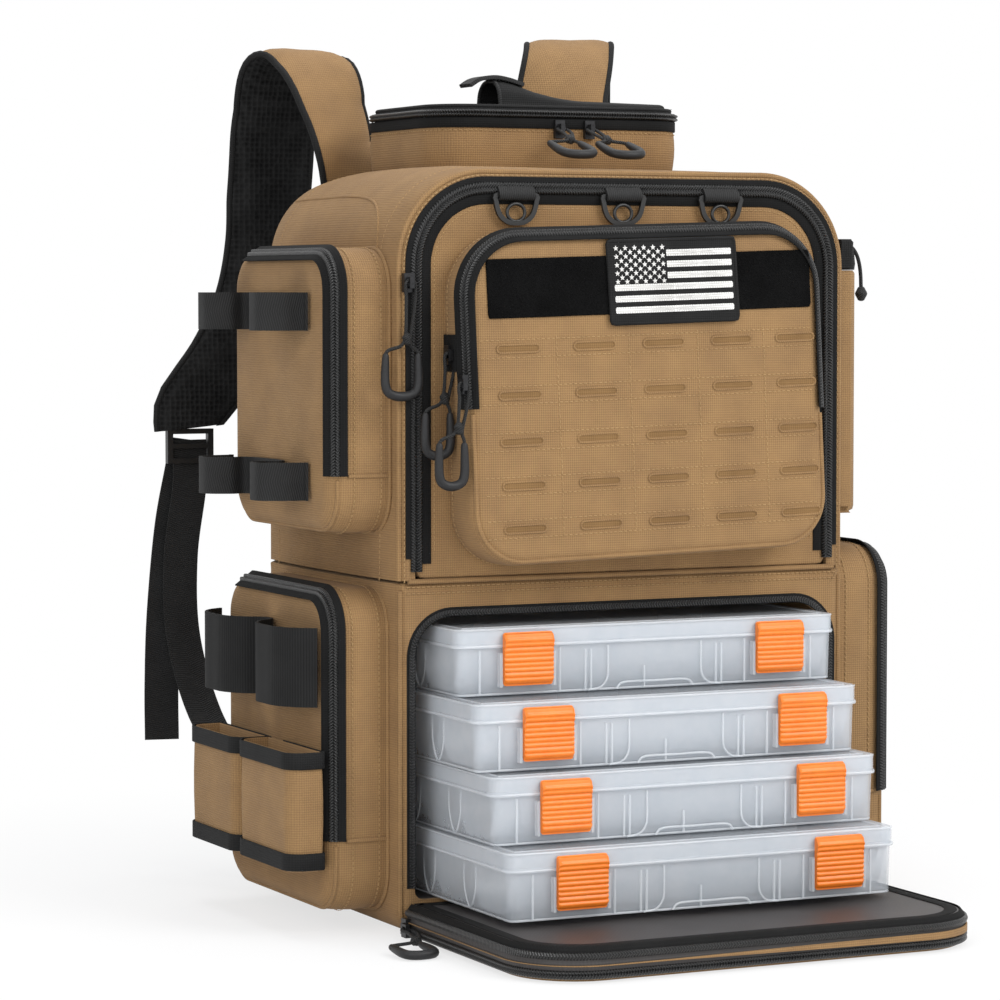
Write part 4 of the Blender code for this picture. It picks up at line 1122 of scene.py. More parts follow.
@dataclass
class TackleTray:
    """A clear tray: base with long troughs, lid with a skirt, and two latches."""

    number: int
    wide: float = 274.0
    deep: float = 180.0
    tall: float = 42.6
    pitch: float = 42.97
    floor: float = 24.0
    skirt: float = 12.3
    outs: tuple[float, ...] = (112.0, 86.0, 67.0, 30.0)
    shifts: tuple[float, ...] = (-1.0, 0.8, -1.9, 2.2)
    latches: tuple[float, float] = (-88.0, 93.0)

    def __post_init__(self) -> None:
        """Work out the tray's place in the stack."""
        below, half = self.number - 1, self.wide / 2
        self.body = "tray_%d" % self.number
        self.x = self.shifts[below]
        self.front = PACK_FRONT - self.outs[below]
        self.low = self.floor + below * self.pitch
        self.high = self.low + self.tall
        sides = (self.x - half, self.x + half)
        self.outline = round_rect(*sides, self.front, self.front + self.deep, (7,) * 4, 200)

    def levels(self, base: float, steps: Sequence[tuple[float, float]]) -> list[tuple[Array, float]]:
        """Return rings of the outline from pairs of an inset and a height over a base."""
        return [(shrunk(self.outline, inset), base + rise) for inset, rise in steps]

    def lid(self) -> None:
        """Stack rings: inside, down the skirt, up its outside, over the rim and across the top."""
        top, skirt = self.high, -self.skirt
        loops = fill(shrunk(self.outline, 2.2), top - 1.7, (0.004, 0.5, 0.95, 1.0))
        loops += self.levels(top, ((1.4, -2.6), (1.4, skirt), (0.0, skirt), (0.0, skirt + 2.2),
                                   (0.7, skirt + 2.6), (0.7, -2.2), (1.1, -0.8), (2.2, -0.1), (7.0, 0.0),
                                   (8.0, -0.6)))
        loops += fill(shrunk(self.outline, 8.6), top - 0.7, (1.0, 0.6, 0.2, 0.004))
        made = Stock().solid(rings(loops, 2))
        made.build(self.body + "_lid_moulding", POLY, self.body, Slot.CLEAR, self.body + "_lid")

    def base(self) -> None:
        """Stack rings: under the floor, up the drafted wall, over the rim and down inside."""
        low, rim = self.low, self.tall - 2.0
        loops = fill(shrunk(self.outline, 7.0), low + 0.4, (0.004, 0.5, 0.97))
        loops += self.levels(low, ((6.6, 0.0), (4.0, 0.0), (2.6, 2.0), (1.9, rim - 12), (1.9, rim),
                                   (3.3, rim), (4.0, 3.0)))
        loops += fill(shrunk(self.outline, 5.4), low + 1.7, (1.0, 0.5, 0.004))
        made = Stock().solid(rings(loops, 2))
        made.build(self.body + "_base_moulding", POLY, self.body, Slot.CLEAR, self.body + "_base")

    def ribs(self) -> None:
        """Build the thick parts: rims, front ribs, finger recess, latch ears and side ribs."""
        made, top, low, front = Stock(), self.high, self.low, self.front
        for inset, z, r in ((1.0, top - 0.9, 0.8), (0.4, top - self.skirt + 1.0, 0.9), (7.6, top - 0.3, 0.6),
                            (3.2, low + 0.9, 0.8)):
            made.tube(placed(shrunk(self.outline, inset), 2, z), r, UP, True, 6)
        for x, rise in ((-120.0, 29.0), (-64.0, 29.0), (-46.0, 27.0), (-42.0, 27.0), (-4.0, 15.0),
                        (48.0, 27.0), (52.0, 27.0), (69.0, 29.0), (118.0, 29.0)):
            z = np.linspace(low + 1.5, low + rise, 8)
            made.strip(points_at(self.x + x, front + 1.5, z), FRONT, bar_section(0.55, 0.7))
        for way, x in ((-1.0, -30.0), (1.0, 37.0)):
            shape = [(x, 29.0), (x, 12.0), (x + way * 1.5, 6.0), (x + way * 6.0, 2.0), (x + way * 14.0, 1.0)]
            made.tube(curve([(self.x + a, front + 1.2, low + b) for a, b in shape], 24), 0.75, (0, 1, 0))
        line = [(-24.0, 0.8), (-19.0, 4.6), (3.0, 4.8), (26.0, 4.6), (31.0, 0.8)]
        made.tube(curve([(self.x + a, front + 1.0, low + b) for a, b in line], 30), 0.8, (0, 1, 0))
        ear = [(-0.9, -2.2), (0.9, -2.2), (0.9, 1.8), (-0.9, 1.8)]
        for x in self.latches:
            for way in (-1.0, 1.0):
                z = np.linspace(low + 5.5, low + 27.0, 12)
                made.strip(points_at(self.x + x + way * 18.6, front - 0.4, z), FRONT, ear)
        shape = [(-9.0, 29.0), (-7.5, 12.0), (0.0, 1.5), (7.5, 12.0), (9.0, 29.0)]
        for side in (-1.0, 1.0):
            at = self.x + side * (self.wide / 2 - 2.6)
            for k in range(1, 3):
                y = front + k * self.deep / 3
                made.tube(curve([(at, y + a, low + b) for a, b in shape], 24), 0.7, (1, 0, 0))
        made.build(self.body + "_ribs", THICK, self.body, Slot.CLEAR)

    def troughs(self) -> None:
        """Carry the section of three round-bottomed troughs along the tray, with cross dividers."""
        lane, middle = (self.deep - 11.0) / 3, self.front + self.deep / 2
        turn = np.linspace(-1.0, 1.0, 25)
        one = np.stack([lane / 2 * turn * 0.97, 26.0 * np.abs(turn) ** 5 + 1.0], axis=1)
        top = np.vstack([one + (k * lane, 0.0) for k in (-1, 0, 1)])
        section = np.vstack([top, (top - (0.0, 1.0))[::-1]])
        path = points_at(np.linspace(self.x - 132.0, self.x + 132.0, 9), middle, self.low + 2.2)
        made = Stock().strip(path, UP, section)
        for x in (-91.0, -44.0, 4.0, 50.0, 96.0):
            for k in (-1, 0, 1):
                y = middle + k * lane + np.array([-0.42, 0.42]) * lane
                made.strip(points_at(self.x + x, y, self.low + 18.0), UP, bar_section(0.6, 13.0))
        made.build(self.body + "_troughs", POLY, self.body, Slot.CLEAR)

    def latch(self, x: float, side: str) -> None:
        """Carry a ribbed section across each latch, narrowed a little at its ends."""
        front, low = self.front, self.low
        t = np.linspace(0.0, 1.0, 61)
        ridges = 0.9 * np.abs(np.sin(math.pi * 9 * np.clip((t - 0.06) / 0.84, 0, 1)))
        bow = 1.1 * np.sin(math.pi * np.clip((t - 0.7) / 0.3, 0, 1))
        y = front - 3.5 - ridges - bow + 1.2 * (t < 0.04) + 1.6 * (t > 0.97)
        back = [(front - 0.5, low + 39.6), (front - 0.5, low + 16.0), (front - 0.8, low + 6.6)]
        section = np.vstack([np.stack([y, low + 6.2 + 33.6 * t], axis=1), back])
        centre = np.array([front - 2.4, low + 22.0])
        ends = ((-17.0, 0.93), (-16.4, 0.985), (-15.0, 1.0), (0.0, 1.0), (15.0, 1.0), (16.4, 0.985),
                (17.0, 0.93))
        loops = [(centre + (section - centre) * k, self.x + x + dx) for dx, k in ends]
        name = "%s_latch_%s" % (self.body, side)
        Stock().solid(rings(loops, 0)).build(name + "_moulding", AMBER, name, Slot.ORANGE, name)

    def build(self) -> None:
        """Build the tray's mouldings."""
        self.lid()
        self.base()
        self.ribs()
        self.troughs()
        for x, side in zip(self.latches, ("left", "right")):
            self.latch(x, side)


@dataclass
class TopPocket:
    """Small pocket on top, its zipped lid and the tool sleeve on the lid."""

    half: float = 92.0
    front: float = -22.0
    rear: float = 110.0
    low: float = 482.4
    high: float = 519.2
    lid_high: float = 527.0
    corner: float = 30.0
    zip_rear: float = 92.0
    sleeve: tuple[float, float, float] = (-38.0, 85.0, 15.0)

    def outline(self, short: float = 0.0) -> Array:
        """Return the pocket's outline from above, with its rear moved forward."""
        return round_rect(-self.half, self.half, self.front, self.rear - short, (self.corner,) * 4, 200)

    def zipped(self, points: Array) -> Array:
        """Return which points lie where the zip runs."""
        return points[:, 1] < self.zip_rear

    def pocket(self) -> None:
        """Stack rings up the pocket's wall and down inside, and lay its trim."""
        line, low, high = self.outline(), self.low, self.high
        loops = fill(shrunk(line, 4.0), low, (0.004, 0.6, 1.0)) + [(shrunk(line, 1.0), low + 1.0)]
        for t in np.linspace(0.0, 1.0, 7):
            loops.append((shrunk(line, -1.6 * math.sin(math.pi * t)), low + 3 + t * (high - low - 5)))
        loops += [(shrunk(line, 1.4), high), (shrunk(line, 3.4), high - 0.6), (shrunk(line, 4.0), low + 6)]
        loops += fill(shrunk(line, 5.0), low + 4.5, (1.0, 0.5, 0.004))
        Stock().solid(rings(loops, 2)).build("top_pocket_cloth", CLOTH, Body.PACK, Slot.TAN, "top_pocket")
        trim = Trim(Body.PACK, "top_pocket")
        trim.tapes.strip(*span(girdle(line, low + 33.6, 1.1), self.zipped), tape(3.4, 0.9))
        trim.threads.stitches(*span(girdle(line, low + 28.4, 1.2), self.zipped))
        trim.seam(*girdle(line, low + 1.2, 1.2), 1.8, True)
        trim.finish()

    def lid(self) -> None:
        """Build the lid with its half of the zip and its piped edge."""
        base = self.high + 0.5
        depth = self.lid_high - base
        lid = Pad(lying(base), self.outline(4.0), depth, edge=3.4, crown=0.3, belly=0.6, wrinkle=0.25)
        lid.build("top_lid_cloth", DARK, Body.LID, Slot.BLACK, "top_lid")
        trim = Trim(Body.LID, "top_lid")
        trim.zip(*span(lid.wall(2.5, 0.8), self.zipped), 5.0, 4.6)
        trim.finish()
        edge = Stock().tube(lid.rim(62.0, 0.1)[0], 1.4, UP, True, 8)
        edge.build("top_lid_piping", DARK, Body.LID, Slot.BLACK)

    def tool_sleeve(self) -> None:
        """Carry an arched section along the sleeve, falling to its far end, and bind its mouth."""
        left, right, middle = self.sleeve
        foot = self.lid_high + 0.8
        y = np.array([-27, -22, -17.5, -15, -9, 0, 9, 15, 17.5, 22, 27.0])
        z = np.array([0, 0, 0.8, 10.4, 16.2, 17.6, 16.2, 10.4, 0.8, 0, 0.0])
        arch = curve(np.stack([y, z], axis=1), 50)
        inward = unit(np.stack([np.gradient(arch[:, 1]), -np.gradient(arch[:, 0])], axis=1))
        section = np.vstack([arch, (arch + inward * 1.3)[::-1]])
        x = np.linspace(left, right, 18)
        fall = np.interp(x, (left, -28.0, -9.0, 8.0, 24.0, right), (1.0, 0.97, 0.62, 0.4, 0.3, 0.24))
        loops = [(section * (1.0, part) + (middle, foot), at) for at, part in zip(x, fall)]
        Stock().solid(rings(loops, 0)).build("tool_sleeve_cloth", DARK, Body.LID, Slot.BLACK, "tool_sleeve")
        bind = Stock().tube(placed(arch + (middle, foot - 0.6), 0, left), 1.4, (1, 0, 0))
        tab = ((-17, 541.8), (-28, 544.9), (-38, 546.2), (-48, 544.6), (-55, 540.6))
        bind.strip(curve([(a, middle, b) for a, b in tab], 24), UP, tape(9.0, 2.6))
        bind.build("tool_sleeve_binding", WEBBING, Body.LID, Slot.BLACK)

    def build(self) -> None:
        """Build the pocket, the lid and the sleeve."""
        self.pocket()
        self.lid()
        self.tool_sleeve()


@dataclass
class SidePockets:
    """Zipped pockets on both sides, and the bottle pocket with its drawn collar."""

    wall: float = 160.3
    out: float = 43.0
    bottle: tuple[float, float, float, float] = (-96.0, 6.0, 258.4, 419.6)
    bottle_sides: tuple[float, float] = (160.5, 189.0)
    cord_y: float = -62.0
    knot: tuple[float, float] = (203.8, 404.0)
    trim: Trim = field(default_factory=lambda: Trim(Body.PACK, "side_pockets"))

    def zipped(self, name: str, side: float, edges: tuple[float, float, float, float], stop: float,
               seed: float) -> None:
        """Build one pocket with a zip over its top and down its front edge.

        Args:
            name: CAD node that it stands for.
            side: -1 for left, 1 for right.
            edges: Front, rear, low and high.
            stop: Height where the zip ends on the front edge.
            seed: Shifts its ripples.
        """
        front, rear, low, high = edges
        trim, ends = self.trim, (front, rear) if side > 0 else (-rear, -front)
        line = round_rect(*ends, low, high, (26,) * 4, 220)
        pad = Pad(sideways(side * self.wall), line, depth=self.out - 1.5, edge=12.0, crown=1.2, belly=1.0,
                  wrinkle=1.9, seed=seed)
        pad.build(name + "_cloth", CLOTH, Body.PACK, Slot.TAN, name)

        def on_zip(p: Array) -> Array:
            """Return which points lie over the top or down the front edge."""
            over = (p[:, 2] > high - 24) & (p[:, 1] < rear - 22)
            return over | ((p[:, 1] < front + 14) & (p[:, 2] > stop))

        trim.zip(*span(pad.rim(36.0, 0.3), on_zip), 16.0, 6.6)
        trim.seam(*pad.wall(1.0, 0.6), 1.6, True)
        sewn = lambda p: (p[:, 1] < front + 30) | (p[:, 2] > high - 2)
        for height in (7.0, self.out - 18.0):
            trim.threads.stitches(*span(pad.wall(height, 0.4), sewn))
        low_half = lambda p: ~on_zip(p) & (p[:, 1] < rear - 10) & (p[:, 2] < high - 40)
        trim.seam(*span(pad.rim(30.0, -0.2), low_half), 1.5)
        ring = pad.wall(0.0)[0]
        at = int(np.argmin(np.hypot(ring[:, 1] - front, ring[:, 2] - stop)))
        cross = np.stack([pad.wall(h, 0.1)[0][at] for h in np.linspace(2.0, self.out - 14.0, 12)])
        trim.seam(cross, FRONT, 1.4)

    def bottle_pocket(self) -> None:
        """Stack rings up the cup and down inside, then gather the collar above it."""
        front, rear, low, high = self.bottle
        line = round_rect(*self.bottle_sides, front, rear, (24, 24, 2, 2), 200)
        loops = fill(shrunk(line, 4.0), low, (0.004, 0.6, 1.0)) + [(shrunk(line, 1.0), low + 1.5)]
        loops += [(shrunk(line, 0.4), low + 4 + t * (high - low - 6)) for t in np.linspace(0, 1, 9)]
        loops += [(shrunk(line, 1.6), high), (shrunk(line, 3.6), high - 1)]
        loops += [(shrunk(line, 4.0), z) for z in (360.0, low + 6)]
        loops += fill(shrunk(line, 5.0), low + 4.4, (1.0, 0.5, 0.004))
        cup = Stock().solid(rings(loops, 2))
        cup.build("bottle_pocket_cloth", CLOTH, Body.PACK, Slot.TAN, "bottle_pocket")
        pleat = 0.7 * np.sin(26 * np.linspace(0, 2 * math.pi, 200, endpoint=False))
        loops = []
        for z, inset, deep in ((420.0, 0.6, 0.2), (424.0, 0.2, 0.5), (430.0, 1.0, 0.9), (435.0, 2.0, 1.0),
                               (438.5, 1.6, 0.8), (440.2, 3.0, 0.4), (438.6, 4.4, 0.4), (430.0, 3.8, 0.6),
                               (421.0, 3.4, 0.2)):
            loops.append((line - (inset + deep * pleat)[:, None] * outward(line), z))
        collar = Stock().grid(rings(loops, 2), close_u=True, close_v=True)
        collar.build("bottle_collar_cloth", DARK, Body.PACK, Slot.BLACK, "bottle_collar")
        tab = lambda p: (p[:, 1] < -60.0) & (p[:, 0] > 161.0) & (p[:, 0] < 174.0)
        strap = Stock().strip(*span(girdle(line, 385.0, -0.1), tab), tape(18.0, 1.5))
        strap.build("bottle_webbing", WEBBING, Body.PACK, Slot.BLACK)

    def drawstring(self) -> None:
        """Hang the drawstring from the collar down to its knot."""
        x, z = self.knot
        route = [(189.0, 436.3), (193.6, 436.8), (198.2, 433.2), (201.4, 427.0), (203.2, 418.0), (x, z + 0.6)]
        path = curve([(a, self.cord_y, b) for a, b in route], 28)
        made = Stock().tube(path, 1.3, (0, 1, 0))
        cord = made.build("drawstring_cord", BRAID, Body.PACK, Slot.BLACK, "drawstring")
        swell = np.linspace(0, math.pi, 13)
        ball = points_at(x, self.cord_y, z - 5.0 * np.cos(swell))
        made = Stock().tube(ball, 0.25 + 3.6 * np.sin(swell) * (1 + 0.1 * np.sin(5 * swell)), (0, 1, 0))
        knot = made.build("drawstring_knot", BRAID, Body.PACK, Slot.BLACK)

    def build(self) -> None:
        """Build every side pocket."""
        self.zipped("left_upper_pocket", -1.0, (-98.0, 68.0, 254.0, 432.0), 290.0, 1.0)
        self.zipped("left_lower_pocket", -1.0, (-94.0, 82.0, 14.0, 218.0), 60.0, 3.0)
        self.zipped("right_lower_pocket", 1.0, (-104.0, 72.0, 16.0, 236.0), 70.0, 5.0)
        self.bottle_pocket()
        self.drawstring()
        self.trim.finish()


@dataclass
class RodCarriers:
    """Straps, elastic band and foot sleeves on the left side."""

    face: float = -204.6
    bows: tuple[float, float] = (-48.0, 42.0)
    strap_out: float = 27.0
    band_out: float = 20.0
    sleeve_out: float = 23.2
    half_thick: float = 0.9

    def hoop(self, name: str, z: float, tall: float, shape: Sequence[tuple[float, float]],
             ends: Sequence[float], out: float, finish: Finish) -> None:
        """Carry a tall flat section along a line that bows out twice.

        Args:
            name: CAD node that it stands for.
            z: Height of its middle.
            tall: Height of the section.
            shape: Distance from the bow's middle and share of its reach, for each point of one bow.
            ends: Where it starts before the first bow and ends after the last, or nothing.
            out: Distance that it bows out.
            finish: Its finish.
        """
        flat = self.face - self.half_thick
        points = [(flat - reach * out, bow + y) for bow in self.bows for y, reach in shape]
        if ends:
            points = [(flat, self.bows[0] + ends[0]), *points, (flat, self.bows[1] + ends[1])]
        path = placed(curve(points, 150), 2, z)
        normal = -np.cross(unit(np.gradient(path, axis=0)), UP)
        made = Stock().strip(path, normal, bar_section(tall / 2, self.half_thick))
        made.build(name + "_cloth", finish, Body.PACK, Slot.BLACK, name)

    def sleeves(self) -> None:
        """Stack rings for two foot sleeves with black bindings."""
        bind, cloth = Stock(), Stock()
        for start, end in ((-94.0, -4.0), (-2.0, 82.0)):
            line = round_rect(self.face - self.sleeve_out, self.face, start, end, (2, 2, 11, 11), 140)
            loops = fill(shrunk(line, 3.0), 42.4, (0.004, 0.6, 1.0))
            for t in np.linspace(0, 1, 6):
                loops.append((shrunk(line, 0.8 - math.sin(math.pi * t)), 44.0 + 72.0 * t))
            loops += [(shrunk(line, 1.6), 117.8), (shrunk(line, 2.8), 116.5), (shrunk(line, 3.0), 46.5)]
            loops += fill(shrunk(line, 4.0), 45.6, (1.0, 0.5, 0.004))
            cloth.solid(rings(loops, 2))
            for z in (112.6, 49.0):
                bind.strip(*girdle(line, z, 0.3), tape(5.4, 1.0), True)
        cloth.build("rod_sleeve_cloth", CLOTH, Body.PACK, Slot.TAN, "rod_sleeves")
        bind.build("rod_sleeve_binding", DARK, Body.PACK, Slot.BLACK)

    def build(self) -> None:
        """Build the straps, the band and the sleeves."""
        loop = [(-17.5, 0.0), (-15.0, 0.5), (-9.0, 0.92), (0.0, 1.0), (9.0, 0.92), (15.0, 0.5), (17.5, 0.0)]
        for name, z in (("rod_strap_upper", 393.0), ("rod_strap_lower", 286.0)):
            self.hoop(name, z, 24.0, loop, (-22.0, 21.0), self.strap_out, WEBBING)
        wide = [(-38.0, 0.0), (-30.0, 0.55), (-16.0, 0.95), (0.0, 1.0), (16.0, 0.95), (30.0, 0.55),
                (38.0, 0.0)]
        self.hoop("rod_band", 170.0, 50.0, wide, (), self.band_out, ELASTIC)
        self.sleeves()


@dataclass
class CarryStraps:
    """Padded shoulder straps, their webbing, the back pads and the haul handle."""

    route: tuple[tuple[float, float, float], ...] = (
        (75, 133, 440), (76, 133.5, 480), (82, 139, 528), (92.5, 153, 563), (103, 175, 576),
        (112.5, 195, 566), (117, 206, 530), (118, 209, 480), (120.5, 209, 436), (131.5, 208, 394),
        (152, 206, 358), (171, 205, 334), (180, 205, 322), (180, 205, 310.4))
    widths: tuple[float, ...] = (64, 64, 64, 63.5, 63, 62.5, 62, 61.5, 61, 59.5, 57, 54, 52, 50)
    sway: tuple[float, float] = (14.0, -6.0)
    lift: tuple[float, float] = (-8.5, 4.0)
    twist: tuple[float, float] = (30.0, 22.0)
    sway_shares: tuple[float, ...] = (0.0, 0.3, 0.9, 0.9, 0.45, 0.1, -0.15, -0.1, 0.0)
    twist_shares: tuple[float, ...] = (0.0, 0.4, 1.0, 0.7, 0.1, 0.0)
    drop: tuple[tuple[float, float, float], ...] = (
        (180, 205, 302), (180, 205, 270), (186, 207, 220), (186, 203, 165), (178, 182, 112), (167, 148, 80),
        (158, 119, 68), (158, 111.8, 58), (158, 111.2, 44))
    tail: tuple[tuple[float, float, float], ...] = (
        (180, 209, 302), (183, 212, 282), (190, 215, 240), (196, 215, 180), (199, 212, 130), (200, 209, 92))

    def strap(self, side: float, name: str) -> None:
        """Carry two crowned halves along the strap: cloth outside, spacer mesh inside, bound edges.

        The top is swayed, and the section is turned inwards by a smooth bump along the strap's first half.
        """
        path = curve([(side * x, y, z) for x, y, z in self.route], 90)
        high = np.clip((path[:, 2] - 440.0) / 110.0, 0.0, 1.0)
        ease = high ** 2 * (3 - 2 * high)
        along = np.linspace(0, len(self.widths) - 1, 90)
        way = int(side > 0)
        share = lambda values: np.interp(along, np.arange(len(values)), values)
        path[:, 0] += side * self.sway[way] * share(self.sway_shares)
        path[:, 2] += self.lift[way] * ease
        run = unit(np.gradient(path, axis=0))
        turn = -side * np.radians(self.twist[way]) * share(self.twist_shares)
        flat = unit(np.cross((1.0, 0.0, 0.0), run))
        normal = flat * np.cos(turn)[:, None] + np.cross(run, flat) * np.sin(turn)[:, None]
        half = share(self.widths) / 2
        t = np.linspace(-1, 1, 21)
        crown = 6.2 * (1 - np.abs(t) ** 4)
        for part, sign, finish in (("outer", 1.0, CLOTH), ("inner", -1.0, MESH)):
            section = np.vstack([np.stack([t, sign * crown], axis=1), [(0.6, 0.0), (-0.6, 0.0)]])
            made = Stock().strip(path, normal, section, scale=half)
            node = ("shoulder_strap_" + name,) if sign > 0 else ()
            slot = Slot.TAN if sign > 0 else Slot.BLACK
            made.build("strap_%s_%s" % (part, name), finish, Body.PACK, slot, *node)
        bind = Stock()
        side_way = unit(np.cross(run, normal))
        for edge in (-1.0, 1.0):
            bind.tube(path + edge * side_way * (half[:, None] - 1.2), 2.4, (0.0, 1.0, 0.3))
        bind.build("strap_binding_" + name, DARK, Body.PACK, Slot.BLACK)

    def webbing(self, side: float, name: str) -> None:
        """Build the lower webbing and the loose tail that hangs from the ladder lock."""
        made = Stock()
        for route in (self.drop, self.tail):
            path = curve([(side * x, y, z) for x, y, z in route], 60)
            made.strip(path, np.cross((1.0, 0.0, 0.0), unit(np.gradient(path, axis=0))), tape(12.5, 1.5))
        made.build("strap_webbing_cloth_" + name, WEBBING, Body.PACK, Slot.BLACK, "strap_webbing_" + name)
        dress("ladder_lock_" + name, ACETAL)

    def back(self) -> None:
        """Build three mesh pads side by side and the haul handle above them."""
        view = backing(110.4)
        outline = round_rect(-138, 138, 20, 470, (30,) * 4, 200)
        board = Pad(view, outline, depth=6.0, edge=3.0, wrinkle=0.2)
        board.build("back_board_cloth", DARK, Body.PACK, Slot.BLACK, "back_panel")
        for number, (left, right) in enumerate(((-135, -52), (-40, 40), (52, 135)), 1):
            outline = round_rect(left, right, 24, 466, (24,) * 4, 200)
            pad = Pad(view, outline, depth=11.5, edge=7.0, crown=3.4, wrinkle=0.5, seed=number)
            item = pad.build("back_pad_%d" % number, MESH, Body.PACK, Slot.BLACK)
        shape = [(-45, 470.4), (-45, 486), (-38, 498), (-20, 503.6), (0, 504.3), (20, 503.6), (38, 498),
                 (45, 486), (45, 470.4)]
        path = curve([(x, 117.8, z) for x, z in shape], 60)
        run = unit(np.gradient(path, axis=0))
        handle = Stock().strip(path, np.cross(run, (0.0, 1.0, 0.0)), bar_section(6.4, 1.3))
        handle.build("haul_handle_webbing", WEBBING, Body.PACK, Slot.BLACK, "haul_handle")

    def build(self) -> None:
        """Build both straps, the back and the handle."""
        for side, name in ((-1.0, "left"), (1.0, "right")):
            self.strap(side, name)
            self.webbing(side, name)
        self.back()


@dataclass(frozen=True)
class ZipPull:
    """A cord loop through a slider's lug, knotted above a moulded grip."""

    name: str
    eye: tuple[float, float, float]
    length: float
    half: float
    shift: float
    down: tuple[float, float, float] = (0.0, 0.0, -1.0)

    def build(self) -> None:
        """Carry the cord along the loop, then a thicker grip along its lower part."""
        long, half, shift = self.length, self.half, self.shift
        grip = min(31.0, 0.62 * long)
        neck, way = long - grip, np.array(self.down)

        def edge(sign: float) -> list[tuple[float, float]]:
            """Return one half of the loop, each point across from the eye and down."""
            return [(sign * 2.9, 0.0), (sign * 2.9, 0.35 * neck), (sign * 2.2 + shift * 0.4, neck - 2),
                    (shift + sign * half, neck + 5), (shift + sign * half, long - 6),
                    (shift + sign * 0.5 * half, long)]

        def at(rows: Sequence[tuple[float, float]]) -> Array:
            """Return the points in space."""
            flat = np.array(rows)
            return np.array(self.eye) + points_at(flat[:, 0], 0.0, 0.0) + np.outer(flat[:, 1], way)

        right, left = edge(1.0), edge(-1.0)
        across = np.cross((1.0, 0.0, 0.0), way)
        loop = curve(at(right + left[::-1]), 110, True)
        cord = Stock().tube(loop, 1.15, across, True, 8)
        cord.build(self.name + "_cord", BRAID, self.name, Slot.CORD, self.name)
        u_shape = curve(at(right[3:] + left[:2:-1]), 60)
        swell = 1.5 + 1.5 * np.sin(np.linspace(0, math.pi, 60)) ** 0.35
        held = Stock().tube(u_shape, swell, across, False, 12)
        held.build(self.name + "_grip", RUBBER, self.name, Slot.CORD)
        s = np.linspace(0, math.pi, 15)
        middle = at([(shift * 0.4, neck - 4)])[0]
        size = 0.4 + 2.7 * np.sin(s) * (1 + 0.12 * np.sin(6 * s))
        knot = Stock().tube(middle - np.outer(4.0 * np.cos(s), way), size, across)
        knot.build(self.name + "_knot", BRAID, self.name, Slot.CORD)


def zip_hardware() -> None:
    """Build every pull and dress the sliders.

    A pull's eye stands off the cloth by reach, or lies at a side's own place.
    """
    reach, side, flap_side = 5.8, -131.5, -161.1
    pulls = [ZipPull("main_pull", (-154.5, PACK_FRONT - reach, 411.0), 70.0, 11.0, -6.0)]
    for number, x, shift in ((1, -6.0, -14.0), (2, 16.0, -1.0)):
        way = tuple(Vector((0.0, -0.952, -0.306)).normalized())
        pulls.append(ZipPull("top_pull_%d" % number, (x, -22.0 - reach, 512.3), 60.0, 11.0, shift, way))
    for number, (y, z) in enumerate(((-118.0, 366.0), (-139.0, 348.0)), 1):
        pulls.append(ZipPull("front_pull_%d" % number, (side, y - 5.5, z), 62.0, 8.5, -8.0))
    down = Vector((0.0, -1.0, -0.055)).normalized()
    pulls.append(ZipPull("flap_pull", (flap_side, -122.0, 7.0), 66.0, 10.0, -18.0, tuple(down)))
    for pull in pulls:
        pull.build()
    for pull in pulls:
        dress(pull.name.replace("pull", "slider"), ZINC)


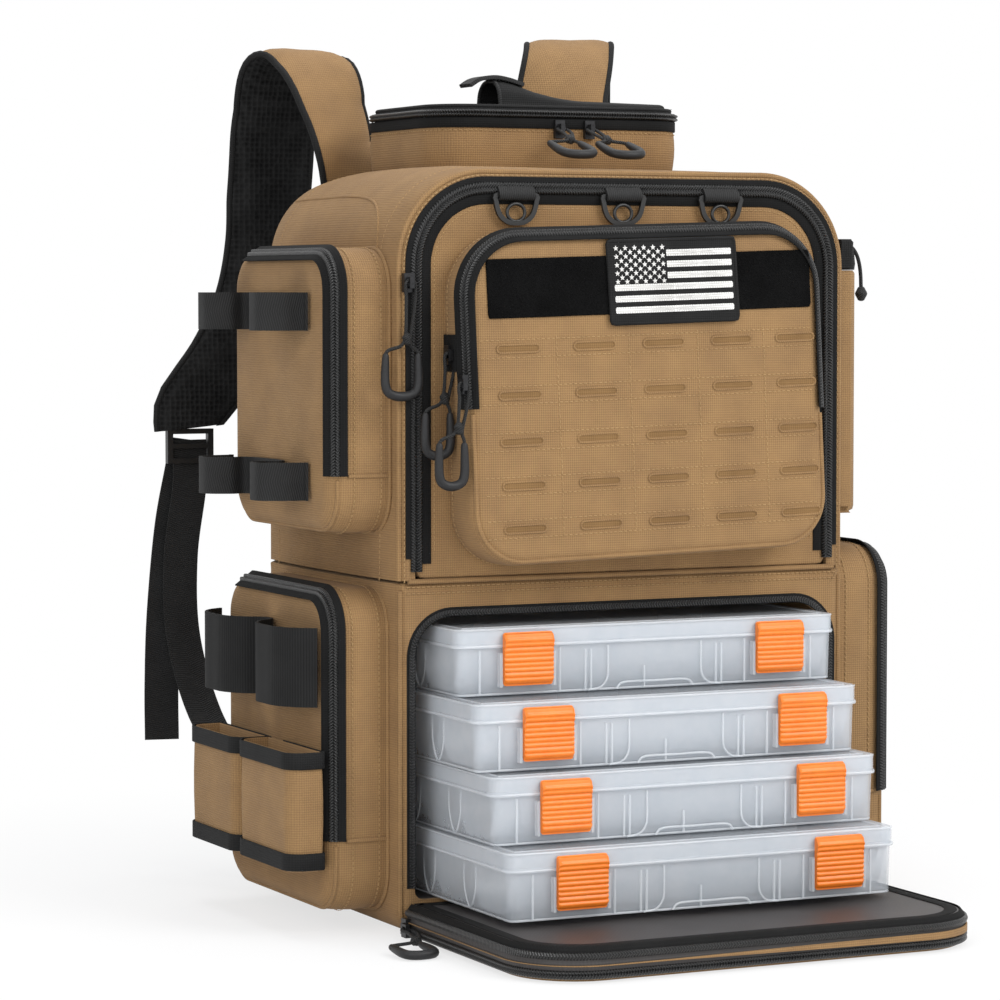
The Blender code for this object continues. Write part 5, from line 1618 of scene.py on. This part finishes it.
@dataclass(frozen=True)
class Studio:
    """White floor and world, soft lights and the camera at the photograph's angle."""

    eye: tuple[float, float, float] = (-1.09225, -2.20604, 0.4064)
    yaw: float = 0.446
    pitch: float = 0.057
    lens: float = 132.4
    glow: float = 0.7
    fade: tuple[float, float] = (0.25, 0.62)

    def seen(self, tree: Tree) -> Socket:
        """Return a socket that is 1 for rays from the camera, a reflection or clear plastic."""
        ray = add_node(tree, "ShaderNodeLightPath").outputs
        both = calc(tree, "MAXIMUM", ray["Is Camera Ray"], ray["Is Glossy Ray"])
        return calc(tree, "MAXIMUM", both, ray["Is Transmission Ray"])

    def floor(self) -> None:
        """Lay a large white floor; the camera sees it brightened, so only shadow tones it."""
        x = np.linspace(-30000.0, 30000.0, 2)
        grid = np.stack(np.broadcast_arrays(x[:, None], x[None, :], np.zeros((2, 2))), axis=-1) * MM
        mesh = bpy.data.meshes.new("studio_floor")
        mesh.from_pydata(grid.reshape(-1, 3).tolist(), [], [(0, 2, 3, 1)])
        item = bpy.data.objects.new("studio_floor", mesh)
        bpy.context.scene.collection.objects.link(item)
        mat = bpy.data.materials.new("white_floor")
        mat.use_nodes = True
        tree = mat.node_tree
        tree.nodes.clear()
        spot = add_node(tree, "ShaderNodeTexCoord")
        away = calc(tree, "LENGTH", spot.outputs["Object"], kind=VECTOR_MATH, out="Value")
        near, far = self.fade
        fade = add_node(tree, "ShaderNodeMapRange", n0=away, n1=near, n2=far, n3=self.glow, n4=1.0)
        seen = calc(tree, "MULTIPLY", self.seen(tree), fade.outputs[0])
        paint = add_node(tree, "ShaderNodeBsdfDiffuse", Color=linear("#f6f6f6"))
        glow = add_node(tree, "ShaderNodeEmission", Color=(1, 1, 1, 1), Strength=1.0)
        mix = add_node(tree, "ShaderNodeMixShader", n0=seen, n1=paint.outputs[0], n2=glow.outputs[0])
        add_node(tree, "ShaderNodeOutputMaterial", Surface=mix.outputs[0])
        mesh.materials.append(mat)

    def world(self) -> None:
        """Set a soft world that the camera, gloss and clear plastic see as white."""
        world = bpy.data.worlds.new("studio_world")
        bpy.context.scene.world = world
        world.use_nodes = True
        tree = world.node_tree
        tree.nodes.clear()
        soft = add_node(tree, "ShaderNodeBackground", Color=linear("#f4f6fa"), Strength=0.55)
        white = add_node(tree, "ShaderNodeBackground", Color=(1, 1, 1, 1), Strength=1.0)
        seen = self.seen(tree)
        mix = add_node(tree, "ShaderNodeMixShader", n0=seen, n1=soft.outputs[0], n2=white.outputs[0])
        add_node(tree, "ShaderNodeOutputWorld", Surface=mix.outputs[0])

    def lamp(self, name: str, place: tuple[float, float, float], aim: tuple[float, float, float], size: float,
             power: float) -> None:
        """Add a soft square lamp that points at a spot."""
        data = bpy.data.lights.new(name, "AREA")
        data.size = size
        data.energy = power
        item = bpy.data.objects.new(name, data)
        item.location = place
        item.rotation_euler = (Vector(aim) - Vector(place)).to_track_quat("-Z", "Y").to_euler()
        bpy.context.scene.collection.objects.link(item)

    def camera(self) -> None:
        """Set the camera from the fitted place, turn and lens."""
        data = bpy.data.cameras.new("photo_camera")
        data.lens = self.lens
        data.sensor_width = 36.0
        item = bpy.data.objects.new("photo_camera", data)
        item.location = self.eye
        level = math.cos(self.pitch)
        way = Vector((math.sin(self.yaw) * level, math.cos(self.yaw) * level, -math.sin(self.pitch)))
        item.rotation_euler = way.to_track_quat("-Z", "Y").to_euler()
        bpy.context.scene.collection.objects.link(item)
        bpy.context.scene.camera = item

    def build(self) -> None:
        """Set up the studio."""
        bpy.context.scene.view_settings.view_transform = "Standard"
        self.camera()
        self.floor()
        self.world()
        self.lamp("key", (1.3, -2.1, 2.1), (0, -0.1, 0.25), 1.6, 50.0)
        self.lamp("fill", (-1.9, -1.5, 1.2), (0, -0.1, 0.25), 1.8, 17.0)
        self.lamp("top", (0.0, 0.3, 2.4), (0, 0, 0.3), 1.6, 22.0)
        self.lamp("low", (-0.4, -2.4, 0.5), (0, -0.1, 0.25), 1.4, 8.0)


def main() -> None:
    """Build the studio and every sub-assembly in order."""
    logging.basicConfig(level=logging.INFO, format="%(message)s")
    Studio().build()
    SidePockets().build()
    PackBody().build()
    MainDoor().build()
    LowerFlap().build()
    for number in (1, 2, 3, 4):
        TackleTray(number).build()
    TopPocket().build()
    RodCarriers().build()
    CarryStraps().build()
    zip_hardware()


if __name__ == "__main__":
    main()
